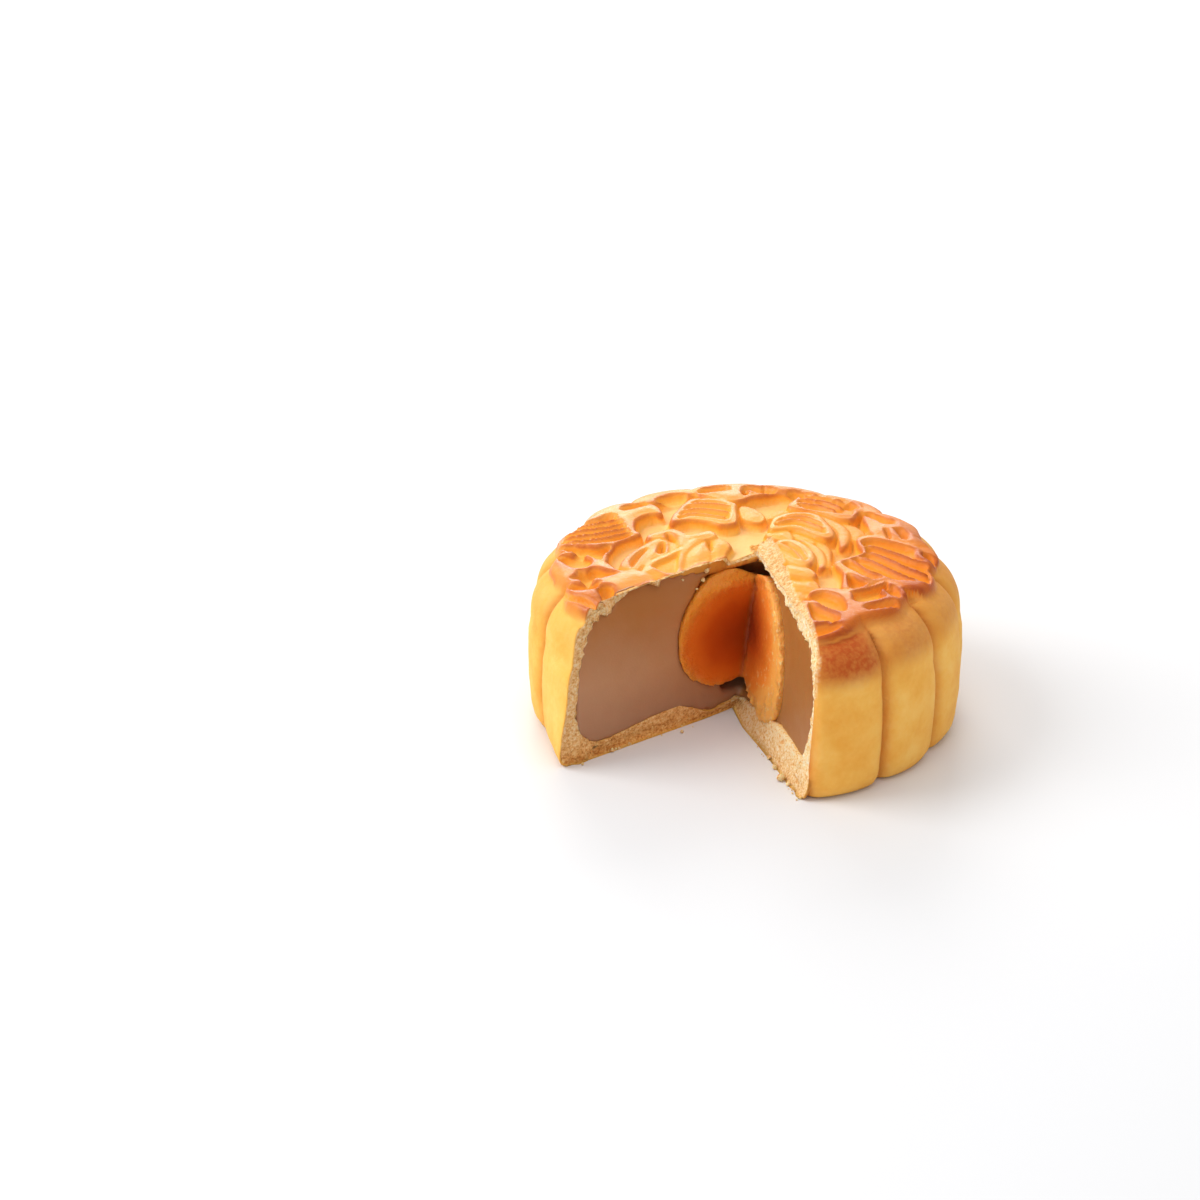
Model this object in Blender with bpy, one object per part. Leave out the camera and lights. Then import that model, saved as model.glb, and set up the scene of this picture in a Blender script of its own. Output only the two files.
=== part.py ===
"""Baked moon cake with one wedge cut out: a fluted crust with a moulded top, a smooth filling and a salted yolk.

Metres, +Z up. The origin is on the cake's axis, on the flat base. Lobes have their crests on the X and Y axes.
"""

import math

import bmesh
import bpy
from mathutils import Vector

MM = 0.001

# The cake.
CAKE_RADIUS = 38.0 * MM  # axis to the crest of a lobe
BASE_RADIUS = 36.4 * MM  # flat base, out to its rounded edge
WAIST_SETBACK = 0.5 * MM  # how far the side stands in above the base and under the shoulder
LOBES = 16
STEPS_PER_LOBE = 6
GROOVE_DEPTH = 1.9 * MM
GROOVE_SHARPNESS = 2.6  # a higher power keeps a lobe full for longer and narrows the groove
GROOVE_FADE = (18.5 * MM, 25.5 * MM)  # the grooves run out between these two heights
SHOULDER_RADIUS = 9.0 * MM
RIM_HEIGHT = 27.6 * MM  # top of the shoulder, where the moulded field starts
DOME_RISE = 0.7 * MM  # from there to the middle of the field
FIELD_RADIUS = CAKE_RADIUS - WAIST_SETBACK - SHOULDER_RADIUS

# The filling and the gap that keeps neighbouring solids apart.
GAP = 0.3 * MM
FILLING_RADIUS = 34.2 * MM
FILLING_BOTTOM = 3.4 * MM
FILLING_DIP = 1.7 * MM  # the base is thinnest at the axis
FILLING_TOP = 27.0 * MM
FILLING_SHOULDER = 7.5 * MM
FILLING_HEEL = 2.0 * MM
FILLING_STEPS = 48

# The yolk, a little off the axis.
YOLK_CENTRE = Vector((-1.2, -4.6, 15.2)) * MM
YOLK_HALF_WIDTH = 12.9 * MM
YOLK_HALF_HEIGHT = 10.8 * MM
YOLK_FULLNESS = 2.4  # 2 is an ellipsoid, more is squarer

# The wedge. Its inner edge leans back into the cake, so its right wall leans away.
LEFT_WALL = math.radians(189.8)
RIGHT_WALL = math.radians(257.7)
WEDGE_FOOT = Vector((-0.6, 1.1, 0)) * MM  # the inner edge at the base
WEDGE_LEAN = Vector((0.19, 0.05, 0))  # how far that edge runs back for each metre of height
WEDGE_REACH = 60.0 * MM
WEDGE_SPAN = (-5.0 * MM, 40.0 * MM)

# The moulded field.
STAMP_HEIGHT = 1.0 * MM
RIDGE_HEIGHT = 1.7 * MM
RIDGE_HALF_WIDTH = 0.55 * MM
RIM_SHARE = 0.66  # a hollow leaf's raised edge ends at this share of its outline
FLOOR_SHARE = 0.56  # and its sunken floor starts at this one
HOLLOW_DEPTH = 0.7 * MM
ROOT_DEPTH = 0.5 * MM  # how deep a stamp reaches into the crust
ROOT_DEPTH_AT_RIM = 1.4 * MM
CURVE_STEPS = 2  # points on each side of a smooth outline

# Outlines of the stamps, in millimetres, seen from above.
HOLLOW_LEAVES = {
    "west_leaf": [(-29, 15), (-26.5, 14), (-24.4, 11), (-25.5, 7.4), (-28.4, 6.9), (-30.4, 10.5)],
    "west_petal": [(-32, 5.4), (-28.5, 7), (-25, 6.2), (-23.2, 3.2), (-26, 2), (-30, 2.8)],
    "west_bud": [(-34.2, 2.6), (-31, 1.8), (-27.6, 0.4), (-29.6, -1.8), (-32.4, -2.4), (-34, -0.6)],
    "front_leaf": [(2, -19), (5, -20), (6.6, -23), (5.4, -26.5), (3.8, -29.3), (1.2, -25.5), (0.2, -21.6)],
    "front_petal": [(7.6, -21), (11.5, -21.2), (15.6, -20.8), (16.6, -23.4), (13, -27), (8.4, -27)],
    "front_edge": [(-1.6, -22.4), (0.4, -25.4), (2.2, -29.2), (0.4, -31.2), (-3.6, -30.4), (-4.4, -26)],
    "east_leaf": [(26.2, 3.4), (28.4, 0), (29.6, -5.6), (29.2, -11), (26.2, -8.6), (23.8, -4.2), (24, 0.2)],
    "north_loop": [(8.4, 21.4), (11.4, 24.4), (15.2, 24), (18, 20.4), (14, 20), (11, 19.8)],
    "far_leaf": [(-4, 27), (1.4, 29.4), (7.2, 29.6), (4.2, 26.4), (0, 25.2)],
    "far_petal": [(21.6, 22.4), (24.8, 20.4), (27.4, 15.4), (23.6, 17.6), (20.8, 20)],
    "far_east_leaf": [(29.8, 12.4), (31, 7.4), (30.6, 2.4), (28.8, 5.4), (28.4, 9.8)],
    "far_west_leaf": [(-16.4, 29), (-11, 31), (-7, 30.4), (-10.4, 28.2), (-14.6, 27.6)],
    "south_east_leaf": [(30.6, -8), (31.4, -12.4), (28.6, -17), (27.6, -13.6), (29, -10.4)],
}
PLAIN_STAMPS = {
    "fan_west": [(-13, 15.4), (-20.6, 13.6), (-24, 16), (-25.4, 20.6), (-19, 24.6), (-10, 26), (-7, 22.4), (-12, 19.4)],
    "fan_east": [(7.6, -15.8), (11.8, -11.2), (18, -9.4), (20.4, -4.6), (25, -7), (26.6, -13), (25.4, -20),
                 (20, -24), (14.6, -19.6), (10, -19.6)],
    "fan_north": [(16.6, 13.6), (22, 19), (24.6, 16.6), (27, 12), (26, 4.6), (22.4, 6.4), (19, 8.6)],
    "bud_upper": [(-10.2, 12.6), (-16, 10.2), (-20.6, 6.8), (-22.6, 3), (-20.2, 2), (-16, 6.4), (-10.6, 10)],
    "bud_lower": [(-10, 10.2), (-14.6, 6.8), (-19, 1.6), (-18.6, -1.2), (-15.6, 0), (-11, 5), (-9, 8.6)],
    "bud_tip": [(-11.2, 13.8), (-7, 14), (-6.6, 11.2), (-8.8, 8.8), (-10, 10.4)],
    "second_bud": [(-2.8, 9.8), (-8, 7.2), (-13.4, 5.2), (-16, 1), (-13.4, -1.6), (-8.4, -0.4), (-4.2, 3), (-2, 6.6)],
    "pad_north": [(-4.8, 16.8), (-1, 19.4), (2.4, 23), (7, 21), (10, 16.6), (5.6, 12), (1.4, 11.4), (-2, 14)],
    "pad_east": [(8.6, 7.2), (11.6, 10.2), (16.4, 10.2), (20, 7), (20.4, 1.4), (16.6, -3.6), (13, -1.6), (11, 3)],
    "pad_south": [(5, 0.6), (9, 1.8), (11.8, -1.8), (11, -7), (7.4, -11.6), (4, -9), (3.6, -4)],
    "pad_edge": [(2.4, -10.6), (4.6, -11.4), (6, -15), (3.6, -18), (0.8, -17), (0.8, -13)],
    "tail_west": [(-27.4, 1.6), (-22, 1.8), (-19.4, 0.4), (-19.8, -2.6), (-24.4, -3), (-28.2, -1.6)],
}

# Centre lines of the ridges, in millimetres, seen from above.
RIDGES = [
    [(-24, 21.6), (-17, 23), (-11, 21.4)],
    [(-24.6, 19.6), (-18, 20.4), (-12.4, 19.4)],
    [(-23.8, 17.6), (-18, 17.8), (-13, 17)],
    [(-22.6, 15.4), (-18, 15.2), (-13.6, 15.8)],
    [(20.6, -5.6), (23, -7.2), (25.6, -11)],
    [(19.8, -7.6), (22.4, -11), (25, -16)],
    [(19, -10.2), (21, -15), (23, -20.6)],
    [(16.8, -11.4), (18.6, -16.4), (20.6, -22.4)],
    [(14, -11.8), (15.6, -16.4), (17.4, -21)],
    [(11.4, -12.4), (12, -16), (12.8, -18.6)],
    [(19, 10.6), (21.6, 13.6), (23.4, 17)],
    [(21.4, 8.4), (23.8, 11), (25.8, 13.4)],
    [(-2.6, 16.4), (1.6, 17.6), (5, 21.2)],
    [(0.4, 13.6), (4.4, 15.2), (7.8, 18.6)],
    [(11.6, 7.8), (15.6, 7.8), (18, 3.4)],
    [(12.4, 4.4), (15, 3.6), (15.8, -0.6)],
    [(6, -1.2), (9, -2), (8.8, -6.8)],
    [(5.4, -5), (6.8, -6.6), (6.4, -9.2)],
    [(-20.8, 4), (-16, 8.4), (-10.8, 11.2)],
    [(-17.4, 1), (-13.6, 5), (-9.8, 9)],
    [(-13.2, 1.4), (-8.4, 4.4), (-4, 8)],
    [(1.6, -15.4), (3.4, -14.2), (4.4, -12.6)],
    [(-26.6, 0.2), (-23, 0.4), (-20.6, -0.6)],
]


def clear_scene():
    """Leaves an empty scene to build in."""
    for thing in list(bpy.data.objects):
        bpy.data.objects.remove(thing, do_unlink=True)


def material(name, colour, roughness):
    """One plain finish."""
    made = bpy.data.materials.new(name)
    made.use_nodes = True
    shader = made.node_tree.nodes["Principled BSDF"]
    shader.inputs["Base Color"].default_value = (*colour, 1.0)
    shader.inputs["Roughness"].default_value = roughness
    shader.inputs["Metallic"].default_value = 0.0
    return made


def object_from(bm, name, finish=None):
    """Turns a bmesh into a scene object, shaded smooth where it is round."""
    mesh = bpy.data.meshes.new(name)
    bm.to_mesh(mesh)
    bm.free()
    mesh.shade_smooth()
    mesh.set_sharp_from_angle(angle=math.radians(40))
    made = bpy.data.objects.new(name, mesh)
    bpy.context.scene.collection.objects.link(made)
    if finish:
        mesh.materials.append(finish)
    return made


def as_cutter(thing):
    """Marks an object as a tool that isn't part of the cake."""
    thing.hide_render = True
    thing.display_type = "WIRE"
    return thing


def arc(centre_r, centre_z, radius, start, end, steps):
    """Points (r, z) along an arc, its angles in degrees from the outward direction."""
    angles = [math.radians(start + (end - start) * i / steps) for i in range(steps + 1)]
    return [(centre_r + radius * math.cos(a), centre_z + radius * math.sin(a)) for a in angles]


def turned(profile, steps):
    """A closed solid turned round the Z axis from points (r, z) that run from its bottom to its top."""
    bm = bmesh.new()
    points = [bm.verts.new((r, 0.0, z)) for r, z in profile]
    edges = [bm.edges.new(pair) for pair in zip(points, points[1:])]
    bmesh.ops.spin(bm, geom=points + edges, cent=(0, 0, 0), axis=(0, 0, 1), angle=math.tau, steps=steps)
    bmesh.ops.remove_doubles(bm, verts=bm.verts, dist=0.01 * MM)
    bmesh.ops.recalc_face_normals(bm, faces=bm.faces)
    return bm


def field_height(r):
    """Height of the plain top at this distance from the axis, without its moulded pattern."""
    if r <= FIELD_RADIUS:
        return RIM_HEIGHT + DOME_RISE * (1 - (r / FIELD_RADIUS) ** 2)
    out = min(r - FIELD_RADIUS, SHOULDER_RADIUS)
    return RIM_HEIGHT - SHOULDER_RADIUS + math.sqrt(SHOULDER_RADIUS**2 - out**2)


def flute(bm):
    """Presses the grooves between the lobes into a turned cake."""
    low, high = GROOVE_FADE
    for v in bm.verts:
        r = math.hypot(v.co.x, v.co.y)
        if r < CAKE_RADIUS / 2:
            continue
        turn = math.atan2(v.co.y, v.co.x) / math.tau * LOBES
        across = abs(turn - round(turn)) * 2  # 0 on a crest, 1 in a groove
        fade = 1 - min(max((v.co.z - low) / (high - low), 0), 1)
        scale = 1 - GROOVE_DEPTH * fade * across**GROOVE_SHARPNESS / r
        v.co.x *= scale
        v.co.y *= scale


def cake_body():
    """The whole cake's outer form, before anything is moulded on it or cut from it."""
    side = CAKE_RADIUS - WAIST_SETBACK
    shoulder_z = RIM_HEIGHT - SHOULDER_RADIUS
    profile = [(0, 0), (CAKE_RADIUS / 2, 0), (BASE_RADIUS, 0), (side - 0.3 * MM, 0.5 * MM), (side, 1.6 * MM)]
    profile += [(CAKE_RADIUS, 0.3 * RIM_HEIGHT), (CAKE_RADIUS, 0.5 * RIM_HEIGHT)]
    profile += arc(FIELD_RADIUS, shoulder_z, SHOULDER_RADIUS, 0, 90, 5)
    profile += [(FIELD_RADIUS * t, field_height(FIELD_RADIUS * t)) for t in (0.66, 0.33, 0)]
    bm = turned(profile, LOBES * STEPS_PER_LOBE)
    flute(bm)
    return bm


def filling_profile(grow):
    """Profile of the filling, grown outwards by a gap where it is the hollow of the crust."""
    side = FILLING_RADIUS + grow
    top = FILLING_TOP + grow
    bottom = FILLING_BOTTOM - grow
    shoulder = FILLING_SHOULDER + grow
    heel = FILLING_HEEL + grow
    profile = [(0, FILLING_DIP - grow), (0.12 * side, FILLING_DIP - grow), (0.3 * side, bottom)]
    profile += arc(side - heel, bottom + heel, heel, -90, 0, 2)
    profile += arc(side - shoulder, top - shoulder, shoulder, 0, 90, 4)
    return profile + [(0.5 * side, top), (0, top)]


def yolk_form(grow):
    """The whole yolk, a rounded and slightly flattened ball."""
    bm = bmesh.new()
    bmesh.ops.create_uvsphere(bm, u_segments=28, v_segments=14, radius=1.0)
    for v in bm.verts:
        flat = math.hypot(v.co.x, v.co.y)
        size = (flat**YOLK_FULLNESS + abs(v.co.z) ** YOLK_FULLNESS) ** (1 / YOLK_FULLNESS)
        v.co /= size
        v.co.x *= YOLK_HALF_WIDTH + grow
        v.co.y *= YOLK_HALF_WIDTH + grow
        v.co.z *= YOLK_HALF_HEIGHT + grow
        v.co += YOLK_CENTRE
    return bm


def wedge_form():
    """The wedge that was cut out, longer than the cake every way."""
    bm = bmesh.new()
    rings = []
    for z in WEDGE_SPAN:
        edge = WEDGE_FOOT + WEDGE_LEAN * z + Vector((0, 0, z))
        reach = [Vector((math.cos(a), math.sin(a), 0)) * WEDGE_REACH for a in (LEFT_WALL, RIGHT_WALL)]
        rings.append([bm.verts.new(p) for p in (edge, edge + reach[0], edge + reach[1])])
    low, high = rings
    bm.faces.new(low)
    bm.faces.new(high)
    for i in range(3):
        j = (i + 1) % 3
        bm.faces.new((low[i], low[j], high[j], high[i]))
    bmesh.ops.recalc_face_normals(bm, faces=bm.faces)
    return bm


def smooth_point(a, b, c, d, t):
    """A point between b and c on the smooth curve through a, b, c and d."""
    return 0.5 * (2 * b + (c - a) * t + (2 * a - 5 * b + 4 * c - d) * t * t + (3 * b - a - 3 * c + d) * t**3)


def smooth_loop(points):
    """A closed smooth outline through points given in millimetres."""
    knots = [Vector(p) * MM for p in points]
    n = len(knots)
    loop = []
    for i in range(n):
        four = [knots[(i + k) % n] for k in (-1, 0, 1, 2)]
        loop += [smooth_point(*four, j / CURVE_STEPS) for j in range(CURVE_STEPS)]
    return loop


def ridge_outline(points):
    """A long narrow outline round a curved centre line, pointed at both ends."""
    knots = [Vector(p) * MM for p in points]
    first, last = 2 * knots[0] - knots[1], 2 * knots[-1] - knots[-2]
    padded = [first, *knots, last]
    line = []
    for i in range(len(knots) - 1):
        line += [smooth_point(*padded[i : i + 4], j / CURVE_STEPS) for j in range(CURVE_STEPS)]
    line.append(knots[-1])
    left, right = [], []
    for before, here, after in zip(line, line[1:], line[2:]):
        along = (after - before).normalized()
        aside = Vector((-along.y, along.x)) * RIDGE_HALF_WIDTH
        left.append(here + aside)
        right.append(here - aside)
    return [line[0], *left, line[-1], *reversed(right)]


def stamp(outline, rings):
    """A raised figure of the mould, bent to follow the top of the cake. Rings are (scale, height) from its root up."""
    area = sum(a.x * b.y - b.x * a.y for a, b in zip(outline, outline[1:] + outline[:1]))
    if area < 0:
        outline = outline[::-1]
    middle = sum(outline, Vector((0, 0))) / len(outline)
    bm = bmesh.new()
    loops = []
    for scale, height in [(1, None), *rings]:
        spots = [middle + (p - middle) * scale for p in outline]
        loops.append([bm.verts.new(on_the_top(spot, height)) for spot in spots])
    n = len(outline)
    for low, high in zip(loops, loops[1:]):
        for i in range(n):
            j = (i + 1) % n
            bm.faces.new((low[i], low[j], high[j], high[i]))
    bm.faces.new(loops[0][::-1])
    bm.faces.new(loops[-1])
    bmesh.ops.triangulate(bm, faces=bm.faces)
    return bm


def on_the_top(spot, height):
    """The point this far above the plain top, or at the root of a figure when height is None."""
    r = spot.length
    if height is None:
        over_rim = min(max((r - 0.9 * FIELD_RADIUS) / (0.2 * FIELD_RADIUS), 0), 1)
        height = -ROOT_DEPTH - (ROOT_DEPTH_AT_RIM - ROOT_DEPTH) * over_rim
    return (spot.x, spot.y, field_height(r) + height)


def cut(thing, operation, cutter):
    """A live Boolean with one cutter object, or with every object of a collection."""
    made = thing.modifiers.new(operation.title(), "BOOLEAN")
    made.operation = operation
    made.solver = "EXACT"
    made.use_self = True
    if isinstance(cutter, bpy.types.Collection):
        made.operand_type = "COLLECTION"
        made.collection = cutter
    else:
        made.object = cutter


def stamps():
    """Every raised figure of the moulded field, in a collection that the crust is joined to."""
    group = bpy.data.collections.new("mould_figures")
    bpy.context.scene.collection.children.link(group)
    hollow = [(1, RIDGE_HEIGHT), (RIM_SHARE, RIDGE_HEIGHT), (FLOOR_SHARE, RIDGE_HEIGHT - HOLLOW_DEPTH)]
    shapes = [(name, smooth_loop(p), hollow) for name, p in HOLLOW_LEAVES.items()]
    shapes += [(name, smooth_loop(p), [(1, STAMP_HEIGHT)]) for name, p in PLAIN_STAMPS.items()]
    shapes += [(f"ridge_{i:02d}", ridge_outline(p), [(1, RIDGE_HEIGHT)]) for i, p in enumerate(RIDGES)]
    for name, outline, rings in shapes:
        figure = as_cutter(object_from(stamp(outline, rings), name))
        bpy.context.scene.collection.objects.unlink(figure)
        group.objects.link(figure)
    return group


def build():
    """The three solids: crust, filling and yolk."""
    clear_scene()
    baked = material("baked_crust", (0.72, 0.36, 0.08), 0.45)
    paste = material("lotus_paste", (0.42, 0.20, 0.08), 0.4)
    cured = material("salted_yolk", (0.62, 0.16, 0.02), 0.4)
    wedge = as_cutter(object_from(wedge_form(), "wedge_cutter"))
    hollow = as_cutter(object_from(turned(filling_profile(GAP), FILLING_STEPS), "crust_hollow"))
    socket = as_cutter(object_from(yolk_form(GAP), "yolk_socket"))

    crust = object_from(cake_body(), "crust", baked)
    cut(crust, "UNION", stamps())
    cut(crust, "DIFFERENCE", hollow)
    cut(crust, "DIFFERENCE", wedge)

    filling = object_from(turned(filling_profile(0.0), FILLING_STEPS), "filling", paste)
    cut(filling, "DIFFERENCE", socket)
    cut(filling, "DIFFERENCE", wedge)

    yolk = object_from(yolk_form(0.0), "yolk", cured)
    cut(yolk, "DIFFERENCE", wedge)


build()
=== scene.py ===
# %% [markdown]
# # A cut moon cake
# A baked moon cake is a thin crust of soft dough pressed in a carved mould round a sweet lotus paste and a
# salted egg yolk. This one has had a wedge cut out, so all three show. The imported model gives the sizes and
# stays fixed; each of its three solids gets a finer piece here that stands for it.

# %% Load the frame
import math

import bpy
import numpy as np
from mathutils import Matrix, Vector, noise


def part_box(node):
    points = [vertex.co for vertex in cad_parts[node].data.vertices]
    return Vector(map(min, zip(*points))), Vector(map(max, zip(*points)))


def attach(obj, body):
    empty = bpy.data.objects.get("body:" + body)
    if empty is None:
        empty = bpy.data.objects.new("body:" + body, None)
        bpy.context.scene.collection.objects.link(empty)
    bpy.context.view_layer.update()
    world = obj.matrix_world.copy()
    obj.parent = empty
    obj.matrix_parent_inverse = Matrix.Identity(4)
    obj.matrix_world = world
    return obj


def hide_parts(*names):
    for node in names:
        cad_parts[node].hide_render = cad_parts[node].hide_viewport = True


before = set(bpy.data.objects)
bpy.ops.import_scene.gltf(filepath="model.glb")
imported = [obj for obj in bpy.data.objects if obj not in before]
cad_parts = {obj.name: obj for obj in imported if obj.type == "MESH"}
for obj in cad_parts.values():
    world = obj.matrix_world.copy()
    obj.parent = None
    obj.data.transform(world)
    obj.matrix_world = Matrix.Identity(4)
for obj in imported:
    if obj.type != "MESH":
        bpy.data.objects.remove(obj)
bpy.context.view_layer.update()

MM = 0.001
crust_low, crust_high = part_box("crust")
TOP = crust_high.z / MM
print(f"cake {(crust_high.x - crust_low.x) / MM:.1f} mm across and {TOP:.1f} mm high")

# %% [markdown]
# ## The camera
# A cake this small is looked at from close by and from not far above, so that the top, the side and both
# cut faces show. A long lens keeps the round top from looking stretched.

# %% Camera
CAMERA_PLACE = (-0.3553, -0.6251, 0.3675)
DOWNWARD = 25.74
TO_THE_RIGHT = 27.6
LENS = 138
SENSOR = 36
camera = bpy.data.objects.new("camera", bpy.data.cameras.new("camera"))
bpy.context.scene.collection.objects.link(camera)
camera.location = CAMERA_PLACE
camera.rotation_euler = (math.radians(90 - DOWNWARD), 0, math.radians(-TO_THE_RIGHT))
camera.data.lens = LENS
camera.data.sensor_width = SENSOR
bpy.context.scene.camera = camera
print(f"camera {camera.location.length:.2f} m away, looking down {DOWNWARD} degrees")

# %% [markdown]
# ## The cut
# A knife took the wedge out in two strokes. Both leaned and neither was quite flat, so the wedge's inner
# corner moves back as it rises and the walls turn a little. Everything below is worked out from that
# corner: a point of the cake is given by the direction in which it lies from the corner and the ring on
# which it lies, and then the cut faces come out clean without cutting anything.

# %% The corner of the cut
LEFT_WALL = math.radians(189.8)
RIGHT_WALL = math.radians(257.7)
TURN = LEFT_WALL + math.tau - RIGHT_WALL
CUT_HEIGHTS = [0, 4, 10, 24, 28]
CORNER_X = [-1.2, 0.2, 1.2, 3.6, 4.8]
CORNER_Y = [1.1, 1.0, 1.3, 2.0, 4.6]
LEFT_DIRECTIONS = np.radians([189.4, 189.8, 189.8, 189.8, 192.5])
RIGHT_DIRECTIONS = np.radians([259.4, 258.6, 257.7, 255.3, 256.3])
FIELD = 28.5
SHOULDER = 9.0
FULLNESS = 2.6
RIM = 27.6
DOME = 0.7
TINY_TURN = 1e-4


def corner(z):
    """The wedge's inner corner at each height, and the directions of its two walls."""
    return [np.interp(z, CUT_HEIGHTS, row) for row in (CORNER_X, CORNER_Y, LEFT_DIRECTIONS, RIGHT_DIRECTIONS)]


def way_round(x, y):
    """Angle from the right wall, the long way round to the left wall."""
    return (np.arctan2(y, x) - RIGHT_WALL + TINY_TURN) % math.tau - TINY_TURN


def on_ring(ring, turn, z):
    """Where the ring of this radius is met, going out from the wedge's corner."""
    cx, cy, left, right = corner(z)
    theta = np.interp(turn / TURN, [0, 1, math.tau / TURN], [0, 1, 2])
    round_cake = np.minimum(theta, 1) * (left + math.tau - right)
    theta = right + round_cake + np.maximum(theta - 1, 0) * (right - left)
    ux, uy = np.cos(theta), np.sin(theta)
    share = np.minimum(ring / FIELD, 1)
    along = (cx * ux + cy * uy) * share
    reach = -along + np.sqrt(np.maximum(along**2 + ring**2 - share**2 * (cx**2 + cy**2), 0))
    return cx + reach * ux, cy + reach * uy


def from_cut(x, y, z, at_left):
    """How far each spot lies behind one of the two cuts, and how far along it from the corner."""
    cx, cy, left, right = corner(z)
    wall = left if at_left else right
    along = (x - cx) * np.cos(wall) + (y - cy) * np.sin(wall)
    behind = (x - cx) * np.sin(wall) - (y - cy) * np.cos(wall)
    return (behind if at_left else -behind), along


print(f"the cake goes on for {math.degrees(TURN):.1f} degrees")

# %% [markdown]
# ## The mould's pattern
# The carver's mould leaves plump leaves, buds and ribbed pads standing above narrow channels. Each figure
# is drawn by its outline, in millimetres from the cake's axis, and turned into a height: a plateau with
# rounded edges. Hollows are scooped out of the plateaus in the same way, and thin veins are lines that the
# scoop leaves standing.

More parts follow.
